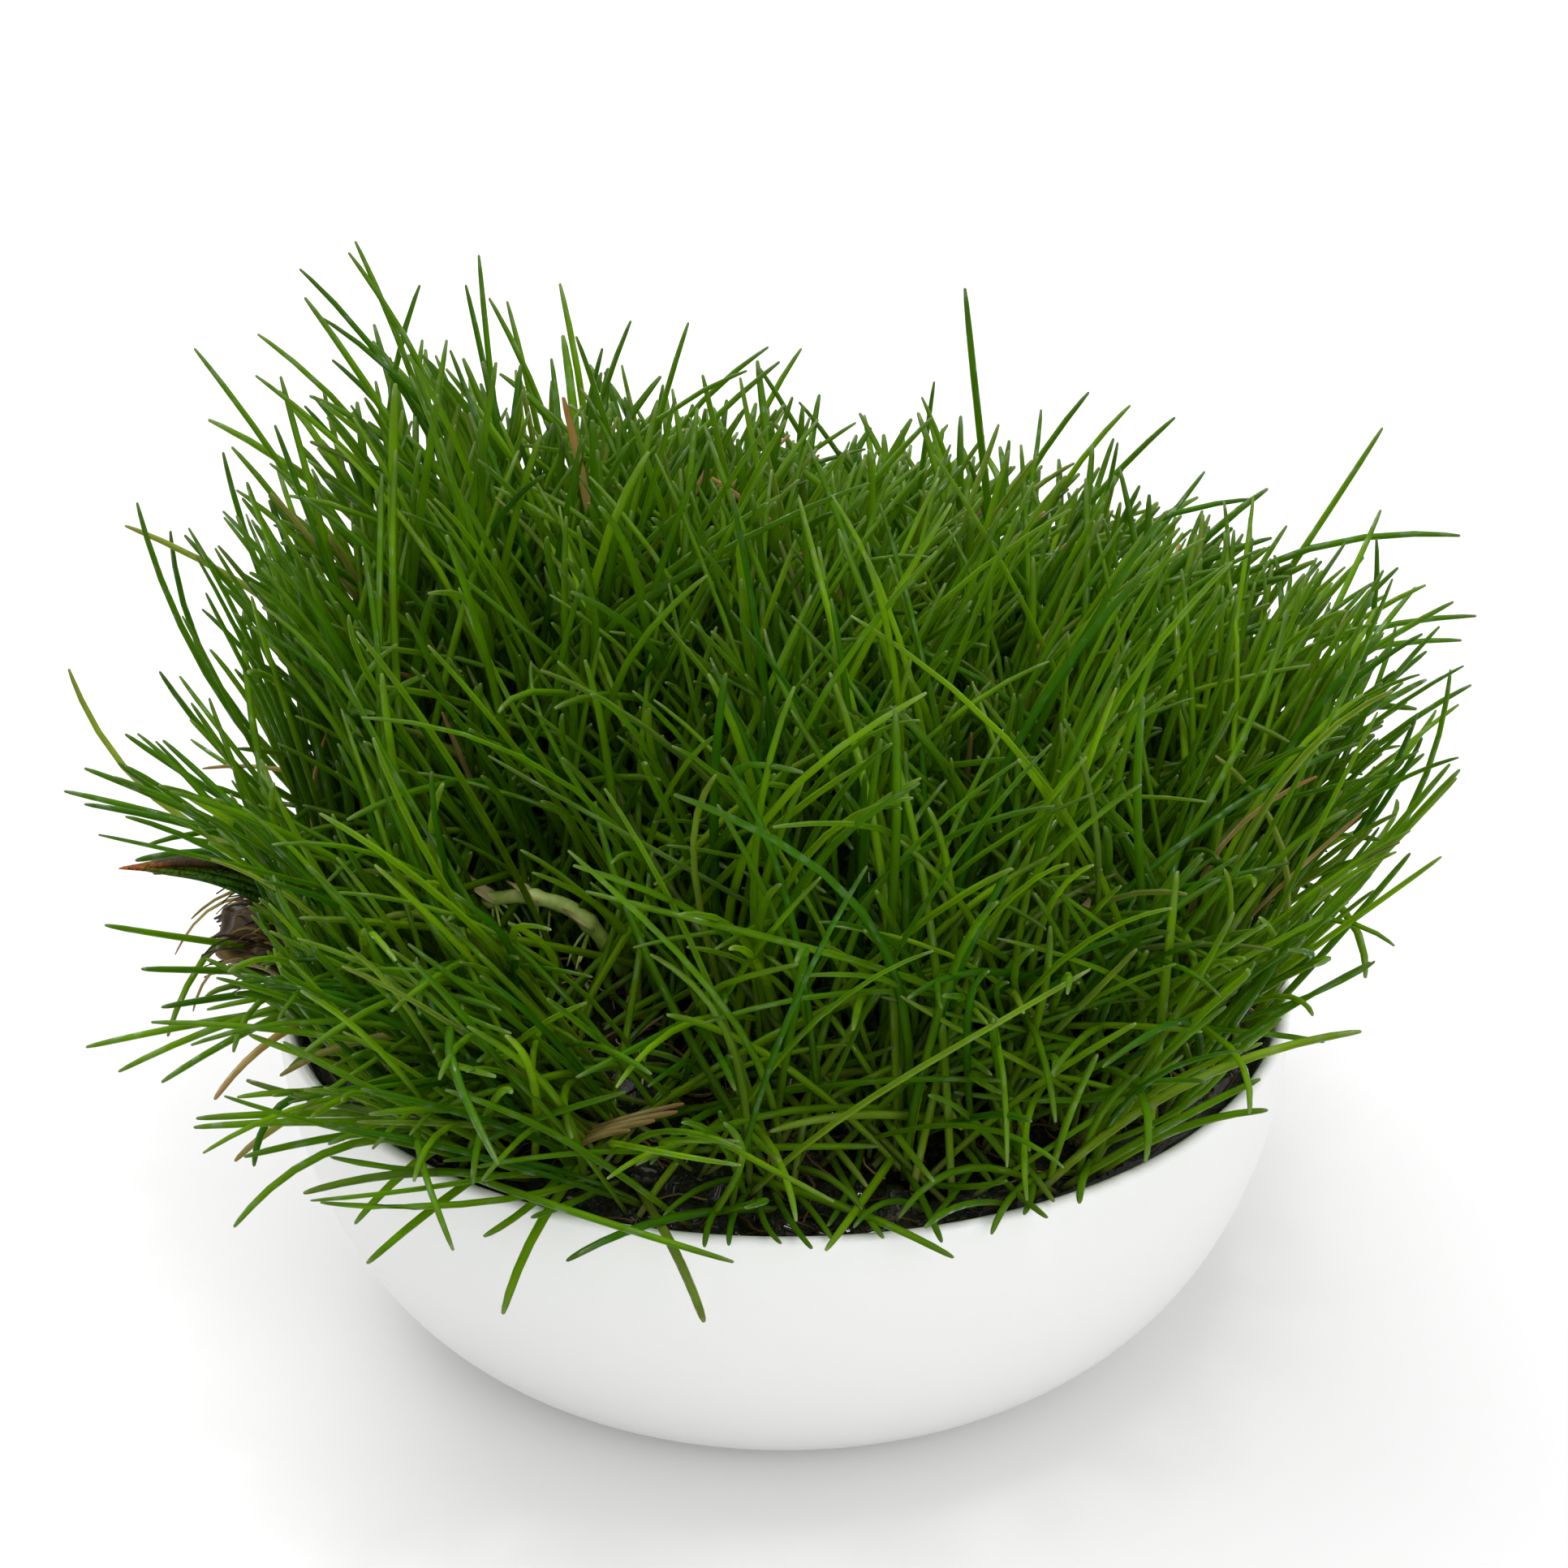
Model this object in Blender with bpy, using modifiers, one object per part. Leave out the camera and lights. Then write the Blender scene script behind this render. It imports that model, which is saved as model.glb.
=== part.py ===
"""Dwarf hairgrass from tissue culture, growing out of its gel in a small white bowl.

The bowl stands on the origin, +Z is up and -Y is the side that the blades hang over.
All sizes are in metres and all angles in degrees.
"""

import math
import random

import bmesh
import bpy
import numpy as np
from mathutils import Matrix, Vector

# The bowl: a thin turned wall that curves up from a flat base to a round lip.
BOWL_HEIGHT = 0.030
RIM_RADIUS = 0.045
WALL = 0.0012
BASE_RADIUS = 0.026

# The gel that fills the bowl, and the mat of roots that lies on it.
GEL_BELOW_RIM = 0.0025
MAT_FROM_WALL = 0.0010
MAT_EDGE = 0.0014
MAT_RISE = 0.0062

# A plantlet is a crown that sits on the mat with a spray of blades.
TUFTS = 34
BLADES_PER_TUFT = 6
CROWN_RADIUS = 0.0019
CROWN_NECK = 0.0011
CROWN_HEIGHT = 0.0026
CROWN_FROM_EDGE = 0.0028
BLADE_RADIUS = 0.00045
BLADE_SEGMENTS = 4
FACET_INSET = 0.0003
SPRAY = 24.0
STEEPEST = 80.0
DROOP = 24.0

# How the grass grows at the edge of the mat, side by side from the right: the azimuth,
# how far the blades lean out over the rim, and how long they are.
SIDES = (
    (0.0, 27.0, 0.046),
    (45.0, 26.0, 0.040),
    (90.0, 17.0, 0.045),
    (118.0, 9.0, 0.063),
    (140.0, 7.0, 0.076),
    (162.0, 16.0, 0.053),
    (190.0, 45.0, 0.034),
    (225.0, 60.0, 0.031),
    (270.0, 52.0, 0.029),
    (310.0, 46.0, 0.030),
    (335.0, 32.0, 0.037),
)
MIDDLE_LENGTH = 0.040

# Runners creep over the mat between the crowns: where each leaves the mat and its heading.
RUNNER_RADIUS = 0.0008
RUNNER_LENGTH = 0.0135
RUNNER_LIFT = 0.0046
RUNNERS = (
    ("runner_front", 214.0, 0.017, 150.0),
    ("runner_right", 322.0, 0.025, 50.0),
    ("runner_back", 100.0, 0.021, 190.0),
)

# One old sheath has dried and lies out over the rim.
SHEATH_RADIUS = 0.0012
SHEATH_LENGTH = 0.0215
SHEATH_AZIMUTH = 177.0
SHEATH_RISE = 21.0
SHEATH_DROOP = 14.0

CLEARANCE = 0.0003
TURN_STEPS = 36
SEED = 11

GOLDEN_ANGLE = 180.0 * (3.0 - math.sqrt(5.0))
RIM_INSIDE = RIM_RADIUS - WALL
GEL_TOP = BOWL_HEIGHT - GEL_BELOW_RIM
MAT_BOTTOM = GEL_TOP + CLEARANCE


def clear_scene():
    """Remove what the start-up scene holds."""
    for obj in list(bpy.data.objects):
        bpy.data.objects.remove(obj)


def new_collection(name):
    """Make a collection in the scene."""
    collection = bpy.data.collections.new(name)
    bpy.context.scene.collection.children.link(collection)
    return collection


def new_material(name, colour, roughness, transmission=0.0):
    """Make a plain Principled material; nothing on this object is metal."""
    material = bpy.data.materials.new(name)
    material.use_nodes = True
    shader = material.node_tree.nodes["Principled BSDF"]
    shader.inputs["Base Color"].default_value = (*colour, 1.0)
    shader.inputs["Roughness"].default_value = roughness
    shader.inputs["Metallic"].default_value = 0.0
    shader.inputs["Transmission Weight"].default_value = transmission
    return material


def smoothed(mesh, sharp_angle=40.0):
    """Shade a round mesh smooth, and keep its real corners sharp."""
    mesh.shade_smooth()
    mesh.set_sharp_from_angle(angle=math.radians(sharp_angle))
    return mesh


# Turned pieces


def bowl_point(angle, inset):
    """A point (radius, height) of the bowl's side, inset from its outer face.

    The side is a quarter of an ellipse: the angle runs from 0 at the base to 90 at the rim.
    """
    turn = math.radians(angle)
    across = RIM_RADIUS - BASE_RADIUS - inset
    up = BOWL_HEIGHT - inset
    return BASE_RADIUS + across * math.sin(turn), BOWL_HEIGHT - up * math.cos(turn)


def bowl_angle(height, inset):
    """The angle at which the inset side passes a height."""
    return math.degrees(math.acos((BOWL_HEIGHT - height) / (BOWL_HEIGHT - inset)))


def side_points(inset, top_height, steps):
    """The inset side from the flat base up to a height."""
    last = bowl_angle(top_height, inset)
    return [bowl_point(last * step / steps, inset) for step in range(steps + 1)]


def turned(name, profile, collection, material):
    """Turn a profile about +Z. It starts on the axis at the top and ends on it at the bottom."""
    mesh = bpy.data.meshes.new(name)
    corners = [(radius, 0.0, height) for radius, height in profile]
    edges = [(i, i + 1) for i in range(len(corners) - 1)]
    mesh.from_pydata(corners, edges, [])
    obj = bpy.data.objects.new(name, mesh)
    collection.objects.link(obj)
    screw = obj.modifiers.new("turn", "SCREW")
    screw.axis = "Z"
    screw.steps = TURN_STEPS
    screw.render_steps = TURN_STEPS
    screw.use_merge_vertices = True
    screw.merge_threshold = 0.00001
    screw.use_smooth_shade = True
    mesh.materials.append(material)
    return obj


def build_bowl(collection):
    """The bowl: inner floor, inner side, round lip, outer side and flat base."""
    inner = side_points(WALL, BOWL_HEIGHT, 6)
    outer = side_points(0.0, BOWL_HEIGHT, 7)
    half_wall = WALL / 2
    lip = [
        (
            RIM_RADIUS - half_wall - half_wall * math.cos(math.radians(angle)),
            BOWL_HEIGHT + half_wall * math.sin(math.radians(angle)),
        )
        for angle in (45.0, 90.0, 135.0)
    ]
    profile = [(0.0, WALL), *inner, *lip, *reversed(outer), (0.0, 0.0)]
    material = new_material("white_bowl", (0.86, 0.87, 0.85), 0.28)
    return turned("bowl", profile, collection, material)


def build_gel(collection):
    """The dark gel, which fills the bowl to a little under its rim."""
    inset = WALL + CLEARANCE
    side = side_points(inset, GEL_TOP, 5)
    profile = [(0.0, GEL_TOP), *reversed(side), (0.0, inset)]
    material = new_material("gel", (0.05, 0.07, 0.03), 0.08, transmission=0.3)
    return turned("gel", profile, collection, material)


def mat_radius():
    """The root mat stops short of the bowl's wall."""
    return bowl_point(bowl_angle(GEL_TOP, WALL), WALL)[0] - MAT_FROM_WALL


def mat_top(radius):
    """The height of the mat's domed top at a distance from the axis."""
    share = min(1.0, radius / mat_radius())
    return MAT_BOTTOM + MAT_EDGE + MAT_RISE * (1.0 - share * share)


def mat_normal(x, y):
    """The mat's upward normal above a point."""
    slope = 2.0 * MAT_RISE / mat_radius() ** 2
    return Vector((slope * x, slope * y, 1.0)).normalized()


def build_root_mat(collection):
    """The low dome of matted roots."""
    edge = mat_radius()
    rings = 4
    top = [(edge * step / rings, mat_top(edge * step / rings)) for step in range(rings + 1)]
    profile = [*top, (edge, MAT_BOTTOM), (0.0, MAT_BOTTOM)]
    material = new_material("matted_roots", (0.045, 0.035, 0.012), 0.7)
    return turned("root_mat", profile, collection, material)


# Growth


def at_edge(azimuth):
    """The lean and the length of the blades at the mat's edge, between the listed sides."""
    stations = [*SIDES, (SIDES[0][0] + 360.0, *SIDES[0][1:])]
    for (start, lean, length), (end, next_lean, next_length) in zip(stations, stations[1:]):
        if start <= azimuth <= end:
            share = (azimuth - start) / (end - start)
            return lean + (next_lean - lean) * share, length + (next_length - length) * share
    return SIDES[0][1:]


def tuft_growth(azimuth, ring):
    """How far a plantlet leans and how long it is; ring is 0 in the middle and 1 at the edge."""
    lean, length = at_edge(azimuth)
    return lean * ring**1.3, MIDDLE_LENGTH + (length - MIDDLE_LENGTH) * ring**2


def direction(azimuth, lean):
    """A unit vector that leans from +Z towards an azimuth."""
    turn = math.radians(azimuth)
    tilt = math.radians(lean)
    return Vector((math.sin(tilt) * math.cos(turn), math.sin(tilt) * math.sin(turn), math.cos(tilt)))


def blade_path(root, azimuth, lean, droop, length, segments):
    """The centre line of a blade that arches over by the droop towards its tip."""
    points = [root.copy()]
    for step in range(segments):
        share = (step + 0.5) / segments
        heading = direction(azimuth, lean + droop * share**1.6)
        points.append(points[-1] + heading * (length / segments))
    return points


def segment_gaps(start, end, starts, ends):
    """The distances from one straight segment to many."""
    along = end - start
    others = ends - starts
    offset = start - starts
    a = along @ along
    b = others @ along
    c = np.einsum("ij,ij->i", others, others)
    d = offset @ along
    e = np.einsum("ij,ij->i", others, offset)
    spread = np.maximum(a * c - b * b, 1e-18)
    s = np.clip((b * e - c * d) / spread, 0.0, 1.0)
    t = np.clip((b * s + e) / c, 0.0, 1.0)
    s = np.clip((b * t - d) / a, 0.0, 1.0)
    nearest = offset + s[:, None] * along - t[:, None] * others
    return np.linalg.norm(nearest, axis=1)


class Thicket:
    """What has grown so far, as straight segments that new blades keep clear of."""

    def __init__(self):
        self.starts = []
        self.ends = []
        self.radii = []
        self.owners = []

    def add(self, points, radius, owner):
        """Remember a path that has grown."""
        for start, end in zip(points, points[1:]):
            self.starts.append(tuple(start))
            self.ends.append(tuple(end))
            self.radii.append(radius)
            self.owners.append(owner)

    def is_clear(self, points, radius, owner):
        """Whether a path keeps the clearance to all that other owners have grown."""
        others = np.array(self.owners) != owner
        if not others.any():
            return True
        starts = np.array(self.starts)[others]
        ends = np.array(self.ends)[others]
        limits = np.array(self.radii)[others] + radius + CLEARANCE
        for start, end in zip(points, points[1:]):
            gaps = segment_gaps(np.array(start), np.array(end), starts, ends)
            if (gaps < limits).any():
                return False
        return True


def clears_bowl_and_mat(points, radius, free_from):
    """Whether a path stays off the mat, the gel, the lip and the bowl's side.

    Args:
        points: the path.
        radius: the half thickness of what follows it.
        free_from: the length at the root that may touch the mat, inside the crown.
    """
    reach = radius + CLEARANCE
    samples = 8
    travelled = 0.0
    for start, end in zip(points, points[1:]):
        for step in range(samples):
            point = start.lerp(end, (step + 1) / samples)
            travelled += (end - start).length / samples
            if travelled < free_from:
                continue
            across = math.hypot(point.x, point.y)
            if across > RIM_RADIUS + reach:
                continue
            over_lip = across > RIM_INSIDE - reach
            floor = BOWL_HEIGHT + WALL / 2 if over_lip else mat_top(across)
            if point.z < floor + reach:
                return False
    return True


def grow_blade(thicket, rng, owner, root, azimuth, lean, length):
    """Try headings near the one asked for until a blade fits, standing it up a little each time."""
    tries = 60
    for attempt in range(tries):
        stray = 5.0 + 0.5 * attempt
        heading = azimuth + rng.uniform(-stray, stray)
        tilt = lean + rng.uniform(-stray, 0.4 * stray)
        droop = DROOP * rng.uniform(0.4, 1.2) * (1.0 + max(0.0, tilt - 45.0) / 45.0)
        path = blade_path(root, heading, tilt, droop, length * rng.uniform(0.86, 1.0), BLADE_SEGMENTS)
        if not clears_bowl_and_mat(path, BLADE_RADIUS, CROWN_HEIGHT):
            continue
        if thicket.is_clear(path, BLADE_RADIUS, owner):
            return path
    return None


# Plantlets


def tube(name, points, radii, collection):
    """A closed tube along points, as a mesh whose caps are welded."""
    curve = bpy.data.curves.new(name, "CURVE")
    curve.dimensions = "3D"
    curve.bevel_depth = 1.0
    curve.bevel_resolution = 1
    curve.use_fill_caps = True
    spline = curve.splines.new("POLY")
    spline.points.add(len(points) - 1)
    for point, place, radius in zip(spline.points, points, radii):
        point.co = (*place, 1.0)
        point.radius = radius
    guide = bpy.data.objects.new(name + "_line", curve)
    collection.objects.link(guide)
    bpy.context.view_layer.update()
    graph = bpy.context.evaluated_depsgraph_get()
    mesh = bpy.data.meshes.new_from_object(guide.evaluated_get(graph))
    bpy.data.objects.remove(guide)
    bpy.data.curves.remove(curve)
    shape = bmesh.new()
    shape.from_mesh(mesh)
    bmesh.ops.remove_doubles(shape, verts=shape.verts, dist=0.00001)
    bmesh.ops.dissolve_degenerate(shape, edges=shape.edges, dist=0.00001)
    bmesh.ops.recalc_face_normals(shape, faces=shape.faces)
    shape.to_mesh(mesh)
    shape.free()
    obj = bpy.data.objects.new(name, mesh)
    collection.objects.link(obj)
    return obj


def blade_radius(step):
    """A blade keeps its thickness for most of its length and ends in a point."""
    return BLADE_RADIUS * (1.0 - (step / BLADE_SEGMENTS) ** 3.0)


def tuft_places():
    """The plantlets' places: (azimuth, distance from the axis, ring), on a golden-angle spiral."""
    edge = mat_radius() - CROWN_FROM_EDGE
    places = []
    for index in range(TUFTS):
        ring = math.sqrt((index + 0.5) / TUFTS)
        places.append(((index * GOLDEN_ANGLE) % 360.0, edge * ring, ring))
    return places


def tuft_name(index):
    """The name of a plantlet."""
    return f"tuft_{index + 1:02d}"


def seat(azimuth, distance):
    """The point on the mat, clear of it, and its normal."""
    turn = math.radians(azimuth)
    x, y = distance * math.cos(turn), distance * math.sin(turn)
    normal = mat_normal(x, y)
    return Vector((x, y, mat_top(distance))) + normal * CLEARANCE, normal


def crown_frame(azimuth, distance):
    """The placing of a crown that stands square on the mat."""
    foot, normal = seat(azimuth, distance)
    return Matrix.Translation(foot) @ normal.to_track_quat("Z", "Y").to_matrix().to_4x4()


def crown_with_facets(frame):
    """A crown, and the inset facets round its side that the blades grow from."""
    shape = bmesh.new()
    bmesh.ops.create_cone(
        shape,
        cap_ends=True,
        segments=BLADES_PER_TUFT,
        radius1=CROWN_RADIUS,
        radius2=CROWN_NECK,
        depth=CROWN_HEIGHT,
        matrix=frame @ Matrix.Translation((0.0, 0.0, CROWN_HEIGHT / 2)),
    )
    cap = [face for face in shape.faces if len(face.verts) != 4]
    facets = [face for face in shape.faces if face not in cap]
    bmesh.ops.inset_individual(shape, faces=facets, thickness=FACET_INSET, use_even_offset=True)
    return shape, facets


def extrude_blade(shape, facet, path):
    """Draw a facet out along a path, turned square to it at each step and thinned to a tip."""
    forward = facet.normal.copy()
    for step in range(1, BLADE_SEGMENTS + 1):
        facet = bmesh.ops.extrude_discrete_faces(shape, faces=[facet])["faces"][0]
        before = facet.calc_center_median()
        ahead = path[min(step + 1, BLADE_SEGMENTS)] - path[step - 1]
        turn = forward.rotation_difference(ahead).to_matrix()
        forward = ahead.normalized()
        for corner in facet.verts:
            arm = turn @ (corner.co - before)
            corner.co = path[step] + arm.normalized() * blade_radius(step)
    bmesh.ops.pointmerge(shape, verts=facet.verts, merge_co=path[-1])


def blade_heading(axis, normal, spray):
    """The azimuth and lean of a blade that sprays out of a facet, round a tuft's axis."""
    outward = (normal - axis * normal.dot(axis)).normalized()
    heading = (axis + outward * math.tan(math.radians(spray))).normalized()
    lean = math.degrees(math.acos(max(-1.0, min(1.0, heading.z))))
    return math.degrees(math.atan2(heading.y, heading.x)), min(lean, STEEPEST)


def build_tuft(thicket, rng, name, place, collection):
    """One plantlet: a crown whose blades grow out of its facets as one solid."""
    azimuth, distance, ring = place
    tuft_lean, length = tuft_growth(azimuth, ring)
    axis = direction(azimuth, tuft_lean)
    shape, facets = crown_with_facets(crown_frame(azimuth, distance))
    for index, facet in enumerate(facets):
        facing, lean = blade_heading(axis, facet.normal, SPRAY * rng.uniform(0.45, 1.0))
        path = grow_blade(thicket, rng, name, facet.calc_center_median(), facing, lean, length)
        if path is None:
            continue
        thicket.add(path[:2], BLADE_RADIUS, name)
        thicket.add(path[1:], BLADE_RADIUS, f"{name} blade {index}")
        extrude_blade(shape, facet, path)
    mesh = bpy.data.meshes.new(name)
    shape.to_mesh(mesh)
    shape.free()
    shade = 0.8 + 0.4 * ring
    mesh.materials.append(new_material(name, (0.035 * shade, 0.14 * shade, 0.008), 0.42))
    tuft = bpy.data.objects.new(name, smoothed(mesh))
    collection.objects.link(tuft)


# Runners and the old sheath


def runner_path(azimuth, distance, heading):
    """A runner rises from the mat and creeps on, a little above it, to its cut end."""
    foot, _ = seat(azimuth, distance)
    stands = RUNNER_RADIUS + 2.0 * CLEARANCE
    turn = math.radians(heading)
    along = Vector((math.cos(turn), math.sin(turn), 0.0))
    points = []
    for share, lift in ((0.0, -0.14), (0.12, 0.45), (0.4, 0.9), (0.75, 1.0), (1.0, 0.85)):
        place = foot + along * (RUNNER_LENGTH * share)
        height = mat_top(math.hypot(place.x, place.y)) + stands + RUNNER_LIFT * lift
        points.append(Vector((place.x, place.y, height)))
    return points


def sheath_path(azimuth, heading):
    """The old sheath lies out over the rim, from beside the outermost crowns."""
    foot, normal = seat(azimuth, mat_radius() - CROWN_FROM_EDGE)
    start = foot + normal * SHEATH_RADIUS
    return blade_path(start, heading, 90.0 - SHEATH_RISE, SHEATH_DROOP, SHEATH_LENGTH, 4)


def first_clear(thicket, rng, owner, radius, path_near):
    """The first path, ever further from the one asked for, that keeps clear of all crowns.

    Args:
        thicket: what has grown so far.
        rng: the seeded source of tries.
        owner: the name of what is placed.
        radius: its half thickness.
        path_near: makes its path, given by how much its place and its heading may turn.
    """
    for attempt in range(400):
        path = path_near(rng.uniform(-0.1, 0.1) * attempt, rng.uniform(-0.2, 0.2) * attempt)
        if thicket.is_clear(path, radius, owner):
            return path
    raise ValueError(f"{owner} has no room between the crowns")


def build_runner(thicket, rng, name, azimuth, distance, heading, collection):
    """One pale runner, of even thickness."""
    path = first_clear(
        thicket,
        rng,
        name,
        RUNNER_RADIUS,
        lambda shift, turn: runner_path(azimuth + shift, distance, heading + turn),
    )
    thicket.add(path, RUNNER_RADIUS, name)
    solid_tube(name, path, [RUNNER_RADIUS] * len(path), collection, (0.36, 0.40, 0.16))


def build_old_sheath(thicket, rng, collection):
    """The dried sheath, blunt at its root and pointed at its tip."""
    name = "old_sheath"
    path = first_clear(
        thicket,
        rng,
        name,
        SHEATH_RADIUS,
        lambda shift, turn: sheath_path(SHEATH_AZIMUTH + shift, SHEATH_AZIMUTH + turn),
    )
    thicket.add(path, SHEATH_RADIUS, name)
    radii = [SHEATH_RADIUS * share for share in (0.9, 1.0, 1.0, 0.75, 0.0)]
    solid_tube(name, path, radii, collection, (0.13, 0.05, 0.02))


def solid_tube(name, points, radii, collection, colour):
    """A tube that is a part of its own."""
    obj = tube(name, points, radii, collection)
    obj.data.materials.append(new_material(name, colour, 0.55))
    return obj


def main():
    """Build the bowl, what fills it and all that grows from it."""
    clear_scene()
    collection = new_collection("dwarf_hairgrass")
    build_bowl(collection)
    build_gel(collection)
    build_root_mat(collection)
    thicket = Thicket()
    places = tuft_places()
    for index, (azimuth, distance, ring) in enumerate(places):
        foot, normal = seat(azimuth, distance)
        thicket.add([foot, foot + normal * CROWN_HEIGHT], CROWN_RADIUS, tuft_name(index))
    for index, (name, *laid) in enumerate(RUNNERS):
        build_runner(thicket, random.Random(SEED * 100 + index), name, *laid, collection)
    build_old_sheath(thicket, random.Random(SEED), collection)
    for index, place in enumerate(places):
        build_tuft(thicket, random.Random(SEED * 1000 + index), tuft_name(index), place, collection)


main()
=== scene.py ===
"""The dressed model of dwarf hairgrass from tissue culture, in its small white bowl.

Each plantlet of the frame is dressed with fine blades that cover its share of the root mat.
Sizes are in metres, angles in degrees and colours in sRGB hex.
"""

from __future__ import annotations

import logging
import math
from dataclasses import dataclass, field, fields
from enum import Enum

import bpy
import numpy as np
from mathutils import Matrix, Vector

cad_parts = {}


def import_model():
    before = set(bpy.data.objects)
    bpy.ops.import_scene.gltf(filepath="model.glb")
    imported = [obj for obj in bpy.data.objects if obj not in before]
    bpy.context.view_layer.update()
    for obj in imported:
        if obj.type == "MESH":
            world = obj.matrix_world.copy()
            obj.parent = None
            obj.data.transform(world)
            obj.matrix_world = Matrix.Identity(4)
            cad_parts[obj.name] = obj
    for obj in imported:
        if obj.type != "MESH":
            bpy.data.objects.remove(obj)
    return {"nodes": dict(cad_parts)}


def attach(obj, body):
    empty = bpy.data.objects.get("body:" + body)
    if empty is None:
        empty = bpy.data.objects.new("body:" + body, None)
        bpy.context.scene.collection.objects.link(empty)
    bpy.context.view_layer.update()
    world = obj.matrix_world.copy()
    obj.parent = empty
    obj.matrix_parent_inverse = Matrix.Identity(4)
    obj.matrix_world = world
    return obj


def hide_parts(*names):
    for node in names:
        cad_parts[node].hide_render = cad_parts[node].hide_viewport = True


LOG = logging.getLogger("hairgrass")
MM = 0.001
BODY = "root"
GOLDEN_ANGLE = 180.0 * (3.0 - math.sqrt(5.0))
Material, Tree, Socket = bpy.types.Material, bpy.types.NodeTree, bpy.types.NodeSocket


# Helpers for colours, nodes and meshes


def linear(code: str) -> tuple[float, ...]:
    """Turn an sRGB hex colour to the linear red, green, blue and an alpha of 1 that shaders take."""
    parts = [int(code[at : at + 2], 16) / 255.0 for at in (0, 2, 4)]
    return (*(p / 12.92 if p <= 0.04045 else ((p + 0.055) / 1.055) ** 2.4 for p in parts), 1.0)


def add_node(tree: Tree, kind: str, settings: dict = {}, links: dict = {}) -> bpy.types.Node:
    """Add a shader node with its settings and links.

    Args:
        tree: the material's or the world's node tree.
        kind: the node's type, without its ShaderNode prefix.
        settings: values by property name, or by input name or number.
        links: output sockets by input name or number.

    Returns:
        The new node.
    """
    node = tree.nodes.new("ShaderNode" + kind)
    for name, value in settings.items():
        if isinstance(name, str) and hasattr(node, name):
            setattr(node, name, value)
        else:
            node.inputs[name].default_value = value
    for name, socket in links.items():
        tree.links.new(socket, node.inputs[name])
    return node


def add_ramp(tree: Tree, factor: Socket, stops: tuple) -> Socket:
    """Add a colour ramp.

    Args:
        tree: the node tree.
        factor: the socket that drives the ramp.
        stops: (position, hex colour) pairs in rising order.

    Returns:
        The ramp's colour socket.
    """
    node = add_node(tree, "ValToRGB", links={"Fac": factor})
    ramp = node.color_ramp
    while len(ramp.elements) < len(stops):
        ramp.elements.new(1.0)
    for element, (position, code) in zip(ramp.elements, stops):
        element.position = position
        element.color = linear(code)
    return node.outputs["Color"]


def mix_colours(
    tree: Tree, factor: Socket | float, first: Socket, second: Socket, blend: str = "MIX"
) -> Socket:
    """Mix two colours.

    Args:
        tree: the node tree.
        factor: a socket or a number, the share of the second colour.
        first: the colour below.
        second: the colour above.
        blend: the blend type.

    Returns:
        The mixed colour's socket.
    """
    settings = {"data_type": "RGBA", "blend_type": blend}
    links = {6: first, 7: second}
    (settings if isinstance(factor, float) else links)[0] = factor
    return add_node(tree, "Mix", settings, links).outputs[2]


def shaded(tree: Tree, colour: Socket, factor: Socket, stops: tuple) -> Socket:
    """Darken a colour by a ramp that a factor drives."""
    return mix_colours(tree, 1.0, colour, add_ramp(tree, factor, stops), "MULTIPLY")


def attribute(tree: Tree, name: str) -> Socket:
    """The socket of a number that each point of the mesh carries."""
    return add_node(tree, "Attribute", {"attribute_name": name}).outputs["Fac"]


def add_noise(tree: Tree, size_mm: float, detail: float, swirl: float = 0.0) -> Socket:
    """Add a noise that is fixed to the object.

    Args:
        tree: the node tree.
        size_mm: the size of its patches.
        detail: the number of its finer layers.
        swirl: how far it is drawn out.

    Returns:
        The socket of its value.
    """
    place = add_node(tree, "TexCoord").outputs["Object"]
    settings = {"Scale": 1.0 / (size_mm * MM), "Detail": detail, "Distortion": swirl}
    return add_node(tree, "TexNoise", settings, {"Vector": place}).outputs["Fac"]


def add_bump(shader: bpy.types.Node, height: Socket, strength: float, depth_mm: float) -> None:
    """Raise a pattern on a shader's surface.

    Args:
        shader: the shader node.
        height: the pattern.
        strength: how much of it shows.
        depth_mm: how far it rises.
    """
    tree = shader.id_data
    bump = add_node(tree, "Bump", {"Strength": strength, "Distance": depth_mm * MM}, {"Height": height})
    tree.links.new(bump.outputs["Normal"], shader.inputs["Normal"])


def new_principled(name: str, base: str, settings: dict) -> tuple[Material, bpy.types.Node, Tree]:
    """Make a material with one Principled shader.

    Args:
        name: the material's name.
        base: its mean colour in hex.
        settings: the shader's plain values by input name.

    Returns:
        The material, its shader node and its node tree.
    """
    material = bpy.data.materials.new(name)
    material.use_nodes = True
    shader = material.node_tree.nodes["Principled BSDF"]
    for key, value in {"Base Color": linear(base), **settings}.items():
        shader.inputs[key].default_value = value
    material.diffuse_color = linear(base)
    return material, shader, material.node_tree


@dataclass
class Shell:
    """A closed surface as arrays: points, faces by number of corners, and a number per point by name."""

    points: np.ndarray
    faces: list[np.ndarray]
    values: dict[str, np.ndarray] = field(default_factory=dict)
    finish: int = 0


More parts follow.
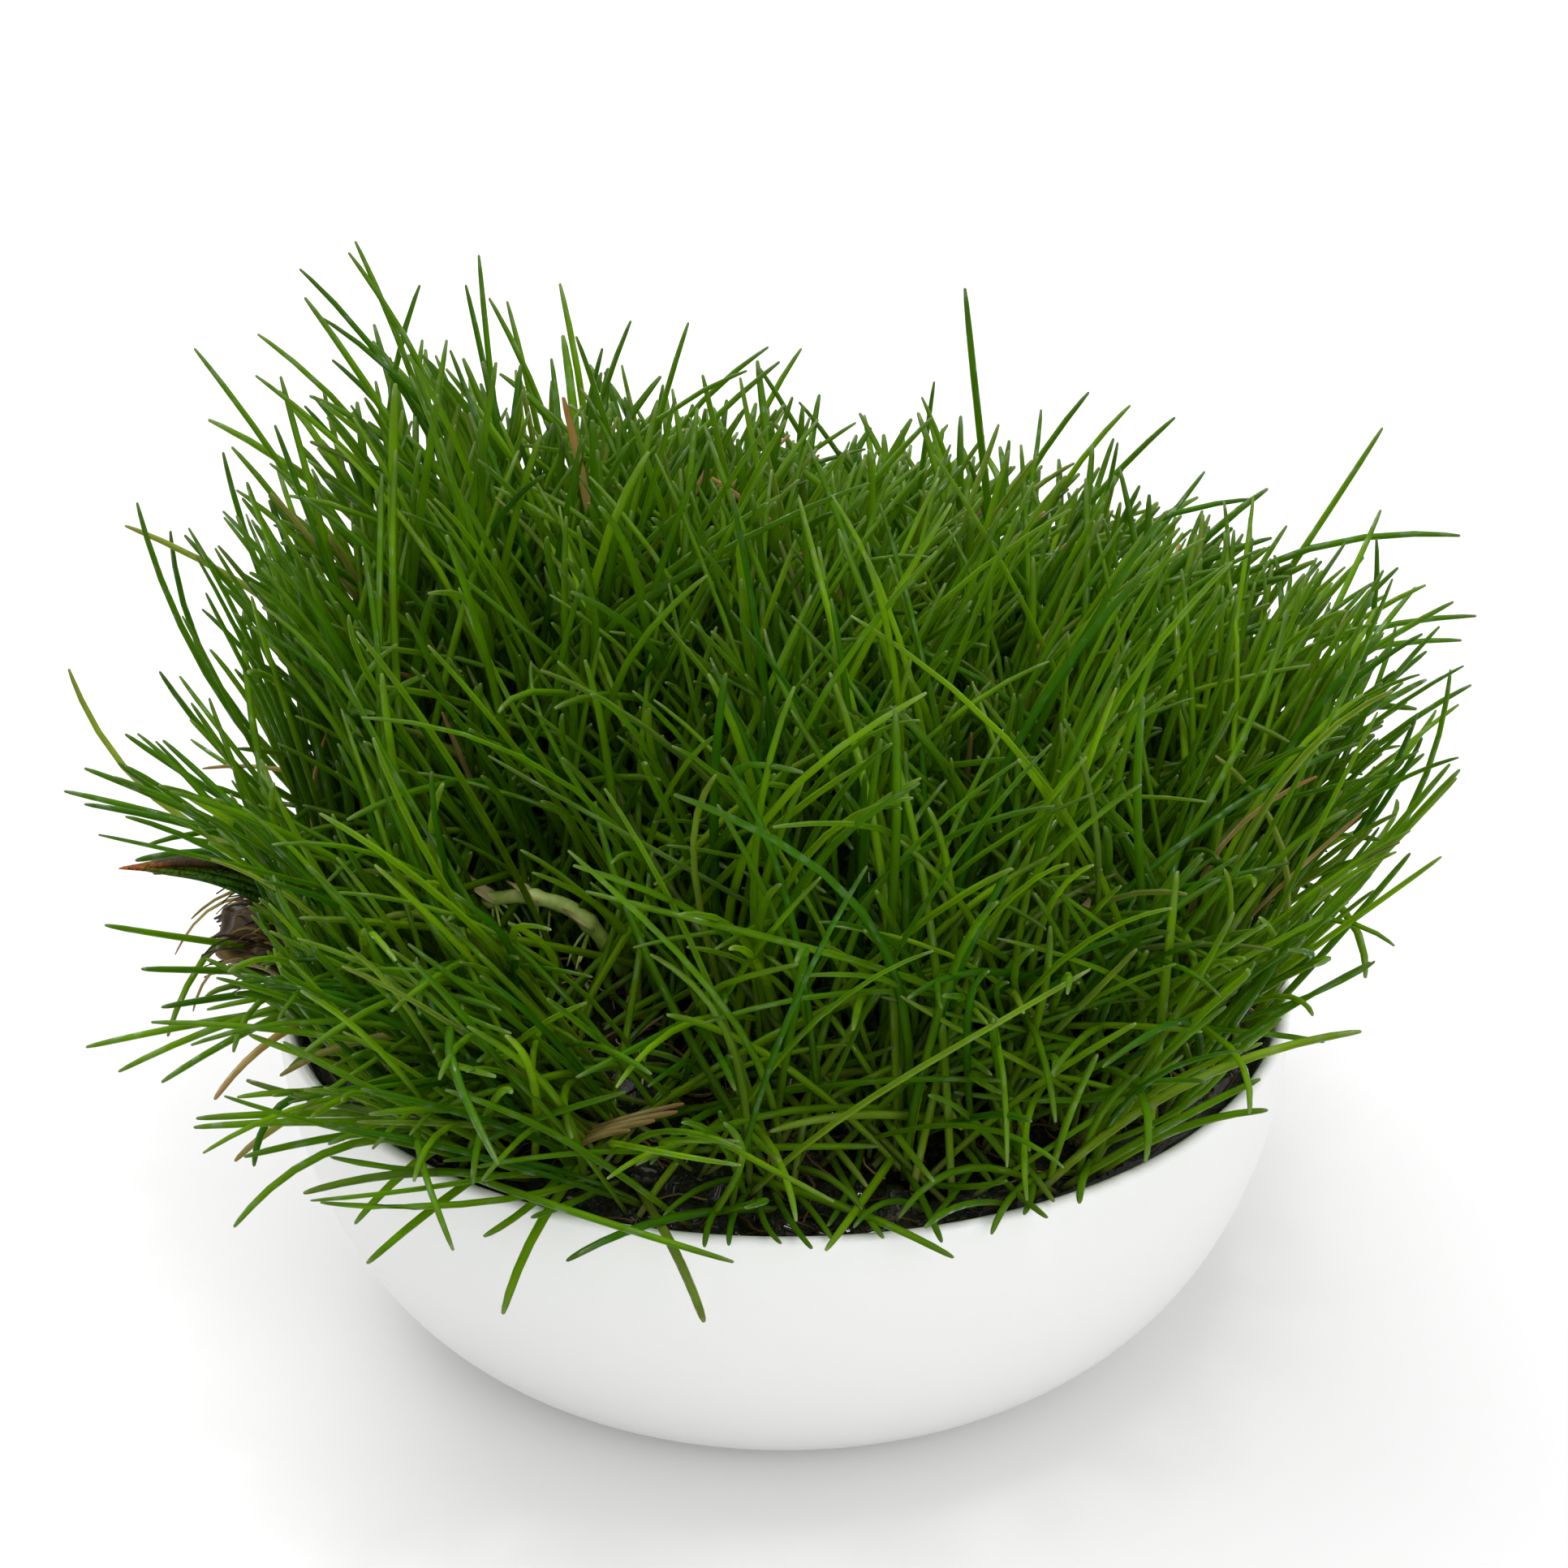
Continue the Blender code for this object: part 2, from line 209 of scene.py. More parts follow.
def mesh_object(name: str, shells: list[Shell], materials: list[Material]) -> bpy.types.Object:
    """Make one object of one or more shells.

    Args:
        name: the object's name.
        shells: its closed surfaces; each one's finish is a place in the materials.
        materials: its materials.

    Returns:
        The object, linked to the scene and shaded smooth.
    """
    points = np.concatenate([shell.points for shell in shells])
    faces, finishes, first = [], [], 0
    for shell in shells:
        faces += [part + first for part in shell.faces]
        finishes += [np.full(len(part), shell.finish) for part in shell.faces]
        first += len(shell.points)
    corners = np.concatenate([part.ravel() for part in faces]).astype(np.int32)
    counts = np.concatenate([np.full(len(part), part.shape[1]) for part in faces])
    starts = np.concatenate([[0], np.cumsum(counts)[:-1]]).astype(np.int32)
    mesh = bpy.data.meshes.new(name)
    mesh.vertices.add(len(points))
    mesh.vertices.foreach_set("co", points.astype(np.float32).ravel())
    mesh.loops.add(len(corners))
    mesh.loops.foreach_set("vertex_index", corners)
    mesh.polygons.add(len(starts))
    mesh.polygons.foreach_set("loop_start", starts)
    mesh.polygons.foreach_set("material_index", np.concatenate(finishes).astype(np.int32))
    mesh.update(calc_edges=True)
    mesh.shade_smooth()
    for key in sorted({key for shell in shells for key in shell.values}):
        numbers = np.concatenate([shell.values.get(key, np.zeros(len(shell.points))) for shell in shells])
        mesh.attributes.new(key, "FLOAT", "POINT").data.foreach_set("value", numbers.astype(np.float32))
    for material in materials:
        mesh.materials.append(material)
    obj = bpy.data.objects.new(name, mesh)
    bpy.context.scene.collection.objects.link(obj)
    return obj


def dress(piece: bpy.types.Object, node: str) -> None:
    """Let a piece stand for a node of the frame.

    Args:
        piece: the visual piece.
        node: the frame's node.
    """
    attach(piece, BODY)
    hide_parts(node)
    LOG.info("%s: %d faces", node, len(piece.data.polygons))


def dome(rows: np.ndarray, pole: np.ndarray, foot: np.ndarray, floor: np.ndarray) -> Shell:
    """Close a stack of rings of points at its top and its bottom.

    Args:
        rows: (rings, steps, 3) points, from the innermost ring at the top.
        pole: the point at the top.
        foot: (steps, 3) last ring.
        floor: the point at the bottom.

    Returns:
        The closed shell.
    """
    rings, steps = rows.shape[:2]
    points = np.concatenate([rows.reshape(-1, 3), foot, pole[None], floor[None]])
    step = np.arange(steps)
    after = (step + 1) % steps
    low = (np.arange(rings) * steps)[:, None]
    high = low + steps
    quads = np.stack([low + step, high + step, high + after, low + after], axis=-1).reshape(-1, 4)
    top, bottom, last = len(points) - 2, len(points) - 1, rings * steps
    fans = [
        np.stack([np.full(steps, top), step, after], axis=1),
        np.stack([np.full(steps, bottom), last + after, last + step], axis=1),
    ]
    return Shell(points, [quads, np.concatenate(fans)])


def unit(vectors: np.ndarray) -> np.ndarray:
    """Scale vectors to length 1 along their last axis."""
    return vectors / np.maximum(np.linalg.norm(vectors, axis=-1, keepdims=True), 1e-12)


def level(turn: np.ndarray) -> np.ndarray:
    """Level unit vectors at angles in radians."""
    return np.stack([np.cos(turn), np.sin(turn), np.zeros(turn.shape)], axis=-1)


def headings(azimuth: np.ndarray, lean: np.ndarray) -> np.ndarray:
    """Unit vectors that lean from +Z towards azimuths, both in degrees."""
    turn, tilt = np.radians(azimuth), np.radians(lean)
    return np.stack([np.sin(tilt) * np.cos(turn), np.sin(tilt) * np.sin(turn), np.cos(tilt)], axis=-1)


# The photograph's view


@dataclass(frozen=True)
class View:
    """The camera that the photograph was taken with, fitted to the rim that it shows."""

    frame_px: float = 1932.0
    focal_px: float = 3940.0
    pitch: float = 25.07
    distance: float = 0.2525
    above_rim: float = 0.1365
    rim_height: float = 0.030
    sensor_mm: float = 36.0

    def place(self) -> np.ndarray:
        """The camera's place."""
        return np.array([0.0, -self.distance, self.rim_height + self.above_rim])

    def axes(self) -> tuple[np.ndarray, np.ndarray]:
        """The directions ahead of it and up in its picture."""
        tilt = math.radians(self.pitch)
        flat, steep = math.cos(tilt), math.sin(tilt)
        return np.array([0.0, flat, -steep]), np.array([0.0, steep, flat])

    def through(self, pixel: tuple[float, float], depth: float) -> np.ndarray:
        """Find what a pixel shows at a depth.

        Args:
            pixel: across and down, in the photograph's frame.
            depth: the wanted y.

        Returns:
            The point on the pixel's line of sight with that y.
        """
        ahead, up = self.axes()
        half = self.frame_px / 2.0
        sight = ahead * self.focal_px + up * (half - pixel[1])
        sight[0] += pixel[0] - half
        return self.place() + sight * (depth + self.distance) / sight[1]

    def seen_at(self, points: np.ndarray) -> np.ndarray:
        """Find the pixels that show points of the model.

        Args:
            points: places, with x, y and z on the last axis.

        Returns:
            Across and down, on the last axis.
        """
        ahead, up = self.axes()
        sight = points - self.place()
        scale = self.focal_px / (sight @ ahead)
        half = self.frame_px / 2.0
        return np.stack([half + sight[..., 0] * scale, half - (sight @ up) * scale], axis=-1)

    def build(self) -> None:
        """Make the camera and look through it."""
        data = bpy.data.cameras.new("photo_view")
        data.sensor_width = self.sensor_mm
        data.lens = self.focal_px / self.frame_px * self.sensor_mm
        data.clip_start = 0.01
        camera = bpy.data.objects.new("photo_view", data)
        camera.location = self.place()
        camera.rotation_euler = (math.radians(90.0 - self.pitch), 0.0, 0.0)
        bpy.context.scene.collection.objects.link(camera)
        bpy.context.scene.camera = camera


# Finishes


class Tissue(Enum):
    """What a blade that is no longer fresh is made of: its place on the age scale of the leaf material."""

    YELLOWING = 0.55
    DEAD = 1.0


@dataclass(frozen=True)
class GrassLeaf:
    """Living grass leaf: a waxy wet skin over green tissue that lets some light through."""

    mean: str = "4f7a0c"
    roughness: float = 0.42
    glow_share: float = 0.44
    blotch_mm: float = 5.0
    film_mm: float = 1.5
    pebble_mm: float = 0.3
    # From the pale sheath at the root through full green to a greyish tip, in dark and in bright blades.
    deep: tuple = (
        (0, "92a040"), (0.1, "568008"), (0.4, "377002"), (0.86, "407e04"), (0.97, "527a1e"), (1, "728a48"),
    )  # fmt: skip
    bright: tuple = (
        (0, "ced078"), (0.12, "9cbc20"), (0.4, "8cba0c"), (0.85, "96c616"), (0.97, "84a638"), (1, "a2b474"),
    )  # fmt: skip
    dry: tuple = ((0, "8c7840"), (0.3, "d0b468"), (0.7, "e8d294"), (1, "ceaa70"))
    lit: tuple = ((0, "72a408"), (1, "c4de2c"))

    def build(self) -> Material:
        """Make the material, which reads a blade's along, edge, tone and age values.

        Returns:
            The material.
        """
        settings = {
            "Roughness": self.roughness, "IOR": 1.42, "Specular IOR Level": 0.1, "Coat Roughness": 0.1,
        }  # fmt: skip
        material, shader, tree = new_principled("living_grass_leaf", self.mean, settings)
        along, edge, tone, age = (attribute(tree, name) for name in ("along", "edge", "tone", "age"))
        deep, bright, dry = (add_ramp(tree, along, stops) for stops in (self.deep, self.bright, self.dry))
        colour = mix_colours(tree, age, mix_colours(tree, tone, deep, bright), dry)
        blotches = add_noise(tree, self.blotch_mm, 2.0)
        colour = shaded(tree, colour, blotches, ((0.3, "d4d4d4"), (0.7, "ffffff")))
        # Painted shade: the blade is coloured darker at its two edges than along its middle.
        colour = shaded(tree, colour, edge, ((0.0, "ffffff"), (0.55, "f4f4f4"), (1.0, "c4c4c4")))
        tree.links.new(colour, shader.inputs["Base Color"])
        # A film of water lies here and there on the blades, and glints.
        wet = add_ramp(tree, add_noise(tree, self.film_mm, 1.0), ((0.56, "000000"), (0.64, "ffffff")))
        tree.links.new(wet, shader.inputs["Coat Weight"])
        # The skin is finely pebbled between its veins.
        add_bump(shader, add_noise(tree, self.pebble_mm, 1.0), 0.5, 0.06)
        lit = mix_colours(tree, age, add_ramp(tree, tone, self.lit), dry)
        through = add_node(tree, "BsdfTranslucent", links={"Color": lit})
        links = {1: shader.outputs["BSDF"], 2: through.outputs["BSDF"]}
        both = add_node(tree, "MixShader", {"Fac": self.glow_share}, links)
        tree.links.new(both.outputs["Shader"], tree.nodes["Material Output"].inputs["Surface"])
        return material


@dataclass(frozen=True)
class MilkyPlastic:
    """Moulded polypropylene: milky white, with a soft sheen and light glowing through its thin wall."""

    mean: str = "f1f2ef"
    peel_mm: float = 0.6

    def build(self) -> Material:
        """Make the material.

        Returns:
            The material.
        """
        settings = {
            "Roughness": 0.32, "IOR": 1.49, "Subsurface Weight": 0.35, "Subsurface Scale": 0.002,
            "Subsurface Radius": (1.0, 1.0, 0.9),
        }  # fmt: skip
        material, shader, tree = new_principled("moulded_polypropylene", self.mean, settings)
        # A moulded skin has a faint orange peel.
        add_bump(shader, add_noise(tree, self.peel_mm, 1.0), 0.04, 0.05)
        return material


@dataclass(frozen=True)
class WetGel:
    """Agar gel coloured nearly black, under a wet glassy skin."""

    mean: str = "10140a"
    cloud_mm: float = 7.0
    ripple_mm: float = 1.6

    def build(self) -> Material:
        """Make the material.

        Returns:
            The material.
        """
        settings = {"Roughness": 0.08, "IOR": 1.34, "Coat Weight": 0.4, "Coat Roughness": 0.03}
        material, shader, tree = new_principled("dark_agar_gel", self.mean, settings)
        colour = add_ramp(tree, add_noise(tree, self.cloud_mm, 3.0), ((0.35, "070a05"), (0.65, "1b2010")))
        tree.links.new(colour, shader.inputs["Base Color"])
        add_bump(shader, add_noise(tree, self.ripple_mm, 3.0), 0.6, 0.4)
        return material


@dataclass(frozen=True)
class RootFelt:
    """Matted living and dead roots: dark brown fibres, wet between and mossy green in patches."""

    mean: str = "2c2412"
    strand_mm: float = 0.8
    moss_mm: float = 4.0
    fibre: tuple = ((0.3, "060503"), (0.5, "14110a"), (0.64, "2c2412"), (0.78, "54451f"))

    def build(self) -> Material:
        """Make the material.

        Returns:
            The material.
        """
        settings = {"Roughness": 0.24, "Specular IOR Level": 0.3, "Coat Weight": 0.3, "Coat Roughness": 0.04}
        material, shader, tree = new_principled("matted_root_fibre", self.mean, settings)
        strands = add_noise(tree, self.strand_mm, 5.0, 2.5)
        moss = add_ramp(tree, add_noise(tree, self.moss_mm, 4.0), ((0.4, "101a06"), (0.65, "0a1a03")))
        colour = mix_colours(tree, 0.6, add_ramp(tree, strands, self.fibre), moss)
        tree.links.new(colour, shader.inputs["Base Color"])
        add_bump(shader, strands, 0.8, 0.5)
        return material


@dataclass(frozen=True)
class LooseRoot:
    """A single root: wiry and wet, from dark brown when old to pale straw when young."""

    mean: str = "5f4a26"
    skin: tuple = ((0.0, "241a0c"), (0.55, "4c3a1c"), (0.85, "846c38"), (1.0, "c4b47c"))

    def build(self) -> Material:
        """Make the material, which reads a root's tone.

        Returns:
            The material.
        """
        settings = {"Roughness": 0.35, "IOR": 1.42, "Specular IOR Level": 0.2}
        material, shader, tree = new_principled("single_root", self.mean, settings)
        tree.links.new(add_ramp(tree, attribute(tree, "tone"), self.skin), shader.inputs["Base Color"])
        return material


@dataclass(frozen=True)
class PaleStolon:
    """A young stolon: pale green, nearly smooth and wet."""

    mean: str = "b9c28e"
    skin: tuple = ((0.0, "88a43c"), (0.3, "b0c858"), (0.75, "d6e68c"), (1.0, "b0c860"))
    freckle_mm: float = 0.9

    def build(self) -> Material:
        """Make the material, which reads how far along the stolon a point is.

        Returns:
            The material.
        """
        settings = {"Roughness": 0.35, "IOR": 1.42, "Coat Weight": 0.2}
        material, shader, tree = new_principled("young_stolon_skin", self.mean, settings)
        skin = add_ramp(tree, attribute(tree, "along"), self.skin)
        skin = shaded(tree, skin, add_noise(tree, self.freckle_mm, 3.0), ((0.35, "dce6b4"), (0.6, "ffffff")))
        tree.links.new(skin, shader.inputs["Base Color"])
        return material


@dataclass(frozen=True)
class DriedSheath:
    """A dying leaf sheath: dark wet green, brown on its upper side, streaked and rusty at its tip."""

    mean: str = "30381a"
    green: tuple = ((0.0, "2c500c"), (0.6, "44761a"), (0.84, "566c1c"), (0.93, "a4581a"), (1.0, "b45418"))
    brown: tuple = ((0.0, "1c200a"), (0.6, "2c260c"), (0.85, "482c0c"), (1.0, "a45018"))
    grain_mm: float = 0.5

    def build(self) -> Material:
        """Make the material, which reads a strip's along and tone values.

        Returns:
            The material.
        """
        settings = {"Roughness": 0.6, "IOR": 1.45, "Specular IOR Level": 0.05}
        material, shader, tree = new_principled("papery_dead_sheath", self.mean, settings)
        along, upper = attribute(tree, "along"), attribute(tree, "tone")
        body = mix_colours(tree, upper, add_ramp(tree, along, self.green), add_ramp(tree, along, self.brown))
        grain = add_noise(tree, self.grain_mm, 4.0, 1.5)
        body = shaded(tree, body, grain, ((0.35, "6a6a6a"), (0.65, "ffffff")))
        tree.links.new(body, shader.inputs["Base Color"])
        add_bump(shader, grain, 0.5, 0.1)
        return material


@dataclass(frozen=True)
class PaperyScale:
    """The dry scale leaf at a stolon's joint: thin straw-coloured paper."""

    mean: str = "a89468"
    skin: tuple = ((0.0, "a8a060"), (0.5, "ccbc86"), (1.0, "947048"))

    def build(self) -> Material:
        """Make the material, which reads how far along the scale a point is.

        Returns:
            The material.
        """
        settings = {"Roughness": 0.6, "IOR": 1.45}
        material, shader, tree = new_principled("straw_scale_leaf", self.mean, settings)
        tree.links.new(add_ramp(tree, attribute(tree, "along"), self.skin), shader.inputs["Base Color"])
        return material


# The bowl and what fills it


@dataclass
class Bowl:
    """The thin turned bowl; its sizes are the frame's."""

    rim_radius: float = 0.045
    height: float = 0.030
    wall: float = 0.0012
    base_radius: float = 0.026
    steps: int = 160
    # The rings of the inner side, the outer side and the lip.
    rings: tuple[int, int, int] = (28, 30, 9)

    def side(self, angle: float, inset: float) -> tuple[float, float]:
        """A point of the side: a quarter ellipse from the base at 0 degrees to the rim at 90."""
        turn = math.radians(angle)
        wide = self.rim_radius - self.base_radius - inset
        deep = self.height - inset
        return self.base_radius + wide * math.sin(turn), self.height - deep * math.cos(turn)

    def inner_radius(self, height: float, inset: float) -> float:
        """The radius of the inset side at a height."""
        angle = math.degrees(math.acos((self.height - height) / (self.height - inset)))
        return self.side(angle, inset)[0]

    def turned(self, profile: list[tuple[float, float]], lift: np.ndarray | float = 0.0) -> Shell:
        """Turn a profile about the upright axis.

        Args:
            profile: (radius, height) points from the axis at the top round to the axis at the bottom.
            lift: what is added to the height of each point of each inner ring.

        Returns:
            The turned shell.
        """
        inner = np.array(profile[1:-1])
        turns = np.linspace(0.0, math.tau, self.steps, endpoint=False)
        radius, up = inner[:, :1], inner[:, 1:] + np.zeros(self.steps) + lift
        rows = np.stack([radius * np.cos(turns), radius * np.sin(turns), up], axis=-1)
        pole, floor = np.array([0.0, 0.0, profile[0][1]]), np.array([0.0, 0.0, profile[-1][1]])
        return dome(rows[:-1], pole, rows[-1], floor)

    def build(self) -> None:
        """Make the bowl in place of the frame's."""
        half = self.wall / 2.0
        within, without, round_lip = self.rings
        inner = [self.side(angle, self.wall) for angle in np.linspace(0.0, 90.0, within)]
        outer = [self.side(angle, 0.0) for angle in np.linspace(90.0, 0.0, without)]
        middle = self.rim_radius - half
        lip = [
            (middle - half * math.cos(math.radians(turn)), self.height + half * math.sin(math.radians(turn)))
            for turn in np.linspace(15.0, 165.0, round_lip)
        ]
        profile = [(0.0, self.wall), *inner, *lip, *outer, (0.0, 0.0)]
        piece = mesh_object("white_bowl", [self.turned(profile)], [MilkyPlastic().build()])
        dress(piece, "bowl")


@dataclass
class Filling:
    """The gel and the mat of roots on it."""

    bowl: Bowl
    below_rim: float = 0.0025
    from_wall: float = 0.0010
    edge: float = 0.0014
    rise: float = 0.0062
    gap: float = 0.0003
    # The rings of the gel's flat top, its bead and its side.
    gel_rings: tuple[int, int, int] = (12, 8, 24)
    # The bead's width and height, and how high its lumps rise.
    bead_mm: tuple[float, float] = (1.15, 1.5)
    bead_lump_mm: float = 0.55
    bead_waves: tuple[int, ...] = (3, 7, 13, 22, 37)
    mat_rings: int = 60
    mat_steps: int = 240
    mat_lumps: int = 60
    mat_lump_mm: float = 0.07
    # The spread of the lumps' waves, in radians a metre.
    mat_waves: float = 900.0
    root_rings: int = 12
    root_corners: int = 5
    lying_roots: int = 620
    hanging_count: int = 120
    clump_at: tuple[float, float] = (-0.0458, 0.0002)
    clump_size: tuple[float, float, float] = (0.0050, 0.0044, 0.0031)
    # Places on the near side of the spilled clump, in mm from its middle, that blades leave in plain view.
    clump_front_mm: tuple = (
        (-3.6, -2.4, 1.0), (-2.0, -3.6, 1.4), (-0.2, -4.0, 1.8), (-2.6, -2.6, 2.4), (-4.4, -0.6, 0.6),
    )  # fmt: skip

    def clump_front(self) -> np.ndarray:
        """Points on the spilled clump's near side."""
        middle = np.array([*self.clump_at, self.bowl.height + self.clump_size[2]])
        return middle + np.array(self.clump_front_mm) * MM

    def gel_top(self) -> float:
        """The height of the gel's surface."""
        return self.bowl.height - self.below_rim

    def radius(self) -> float:
        """The mat's radius."""
        return self.bowl.inner_radius(self.gel_top(), self.bowl.wall) - self.from_wall

    def top(self, distance: np.ndarray) -> np.ndarray:
        """The height of the mat's dome at distances from the axis."""
        share = np.minimum(1.0, distance / self.radius())
        return self.gel_top() + self.gap + self.edge + self.rise * (1.0 - share * share)

    def build_gel(self, rng: np.random.Generator) -> None:
        """Make the gel, squeezed up in an uneven wet bead between the mat and the wall.

        Args:
            rng: the seeded source of the bead's lumps.
        """
        inset = self.bowl.wall + self.gap
        last = math.degrees(math.acos(self.below_rim / (self.bowl.height - inset)))
        on_flat, on_bead, on_side = self.gel_rings
        side = [self.bowl.side(angle, inset) for angle in np.linspace(last, 0.0, on_side)]
        wall_radius = side[0][0]
        flat = [(wall_radius * share, self.gel_top()) for share in np.linspace(0.1, 0.97, on_flat)]
        wide, high = self.bead_mm
        bead = [
            (wall_radius - wide * MM * (1.0 - share), self.gel_top() + high * MM * math.sin(2.2 * share))
            for share in np.linspace(0.0, 1.0, on_bead)
        ]
        profile = [(0.0, self.gel_top()), *flat, *bead, *side, (0.0, inset)]
        turns = np.linspace(0.0, math.tau, self.bowl.steps, endpoint=False)
        lumps = sum(
            np.sin(turns * waves + rng.uniform(0.0, math.tau)) * 0.9 / math.sqrt(waves)
            for waves in self.bead_waves
        )
        heave = np.sin(np.linspace(0.0, math.pi * 0.62, on_bead))[:, None] * self.bead_lump_mm * MM * lumps
        lift = np.zeros((len(profile) - 2, self.bowl.steps))
        lift[on_flat : on_flat + on_bead] = heave
        piece = mesh_object("dark_gel", [self.bowl.turned(profile, lift)], [WetGel().build()])
        dress(piece, "gel")

    def build_mat(self, rng: np.random.Generator) -> None:
        """Make the mat: a lumpy dome with loose root strands lying over it.

        Args:
            rng: the seeded source of lumps and strands.
        """
        distance = np.linspace(0.0, 1.0, self.mat_rings + 1)[1:] * self.radius()
        turns = np.linspace(0.0, math.tau, self.mat_steps, endpoint=False)
        grid_r, grid_t = np.meshgrid(distance, turns, indexing="ij")
        x, y = grid_r * np.cos(grid_t), grid_r * np.sin(grid_t)
        lumps = np.zeros_like(x)
        for _ in range(self.mat_lumps):
            wave = rng.normal(0.0, self.mat_waves, 2)
            lumps += np.sin(x * wave[0] + y * wave[1] + rng.uniform(0.0, math.tau))
        rim = np.minimum(1.0, (self.radius() - grid_r) / (2.0 * MM))
        z = self.top(grid_r) - self.edge * 0.55 * (1.0 - rim) ** 2
        z = z + self.mat_lump_mm * MM * lumps * (0.25 + 0.75 * rim)
        under = self.gel_top() + self.gap
        z = np.maximum(z, under + 0.2 * MM)
        foot = np.stack([x[-1], y[-1], np.full(self.mat_steps, under)], axis=1)
        pole = np.array([0.0, 0.0, float(z[0].mean())])
        felt = dome(np.stack([x, y, z], axis=-1), pole, foot, np.array([0.0, 0.0, under]))
        taper = np.linspace(1.0, 0.5, self.root_rings)
        roots = self.loose_roots(rng).joined(self.hanging_roots(rng)).shell(taper, self.root_corners)
        roots.finish = 1
        shells = [felt, self.spilled_clump(rng), roots]
        piece = mesh_object("root_mat_felt", shells, [RootFelt().build(), LooseRoot().build()])
        dress(piece, "root_mat")

    def loose_roots(self, rng: np.random.Generator) -> Strands:
        """Lay root strands over the dome.

        Args:
            rng: the seeded source of their ways.

        Returns:
            The strands.
        """
        count, rings = self.lying_roots, self.root_rings
        ring = self.radius() * np.sqrt(rng.uniform(0.0, 0.96, count))
        turn = rng.uniform(0.0, math.tau, count)
        start = np.stack([ring * np.cos(turn), ring * np.sin(turn)], axis=1)
        facing = rng.uniform(0.0, math.tau, count)[:, None]
        facing = facing + np.cumsum(rng.normal(0.0, 0.35, (count, rings)), axis=1)
        step = rng.uniform(0.5, 1.1, count)[:, None, None] * MM
        flat = start[:, None] + np.cumsum(level(facing)[..., :2] * step, axis=1)
        across = np.linalg.norm(flat, axis=-1)
        limit = self.radius() - 0.5 * MM
        flat *= np.minimum(1.0, limit / across)[..., None]
        wave = np.sin(np.linspace(0.0, math.pi, rings))[None] * rng.uniform(-0.1, 1.6, count)[:, None]
        height = np.maximum(self.top(np.minimum(across, limit)) + wave * MM, self.gel_top() + 0.6 * MM)
        paths = np.concatenate([flat, height[..., None]], axis=-1)
        side = np.stack([-np.sin(facing[:, 0]), np.cos(facing[:, 0]), np.zeros(count)], axis=1)
        return Strands(paths, side, rng.uniform(0.07, 0.2, count) * MM, 1.0, rng.uniform(0.0, 1.0, count))

    def spilled_clump(self, rng: np.random.Generator) -> Shell:
        """Make the clump of matted roots that spills over the lip at the left.

        Args:
            rng: the seeded source of its lumps.

        Returns:
            The clump, lying on the lip.
        """
        rings, around = 26, 48
        middle = np.array([*self.clump_at, self.bowl.height + self.clump_size[2] + 0.1 * MM])
        turns = np.linspace(0.0, math.tau, around, endpoint=False)
        polar, turn = np.meshgrid(np.linspace(0.08, math.pi - 0.08, rings), turns, indexing="ij")
        sphere = level(turn) * np.sin(polar)[..., None]
        sphere[..., 2] = np.cos(polar)
        lumps = np.ones(polar.shape)
        for wave in rng.normal(0.0, 4.5, (40, 3)):
            lumps += 0.022 * np.sin(sphere @ wave + rng.uniform(0.0, math.tau))
        size = np.array(self.clump_size)
        points = middle + sphere * size * lumps[..., None]
        points[..., 2] = np.maximum(points[..., 2], self.bowl.height + 0.05 * MM)
        pole = middle + [0.0, 0.0, float(size[2] * lumps[0].mean())]
        floor = middle - [0.0, 0.0, float(size[2])]
        clump = dome(points[:-1], pole, points[-1], floor)
        # Painted shade: the clump is coloured darker in its hollows and paler on its lumps.
        tone = 0.35 + 1.6 * (lumps - 1.0) + rng.normal(0.0, 0.12, lumps.shape)
        clump.values = {"tone": np.clip(np.concatenate([tone.ravel(), [0.3, 0.3]]), 0.0, 0.8)}
        clump.finish = 1
        return clump

    def hanging_roots(self, rng: np.random.Generator) -> Strands:
        """Let loose roots spill over the lip round the clump.

        Args:
            rng: the seeded source of their ways.

        Returns:
            The strands.
        """
        count = self.hanging_count
        share = np.linspace(0.0, 1.0, self.root_rings)[None, :, None]
        turn = np.radians(rng.normal(178.0, 5.0, count))
        outward = level(turn)[:, None]
        sideways = np.stack([-np.sin(turn), np.cos(turn), np.zeros(count)], axis=1)[:, None]
        start = self.radius() - 0.6 * MM
        reach, rise, curl, waver, waves = (
            rng.uniform(low, high, count)[:, None, None]
            for low, high in ((4.5, 9.4), (3.5, 8.0), (-2.0, 2.0), (-0.8, 0.8), (1.0, 5.5))
        )
        bottom = self.top(np.array([start]))[0] - 0.2 * MM
        out = outward * (start + reach * MM * share)
        arch = rise * np.sin(share * 2.1) * (1.0 - 0.1 * share)
        height = bottom + MM * (arch + waver * np.sin(share * waves * 1.3) * share)
        path = out + sideways * curl * MM * np.sin(share * waves) + np.array([0.0, 0.0, 1.0]) * height
        radius = rng.uniform(0.09, 0.26, count) * MM
        return Strands(path, sideways[:, 0], radius, 1.0, rng.uniform(0.0, 1.0, count) ** 1.6)


# Blades


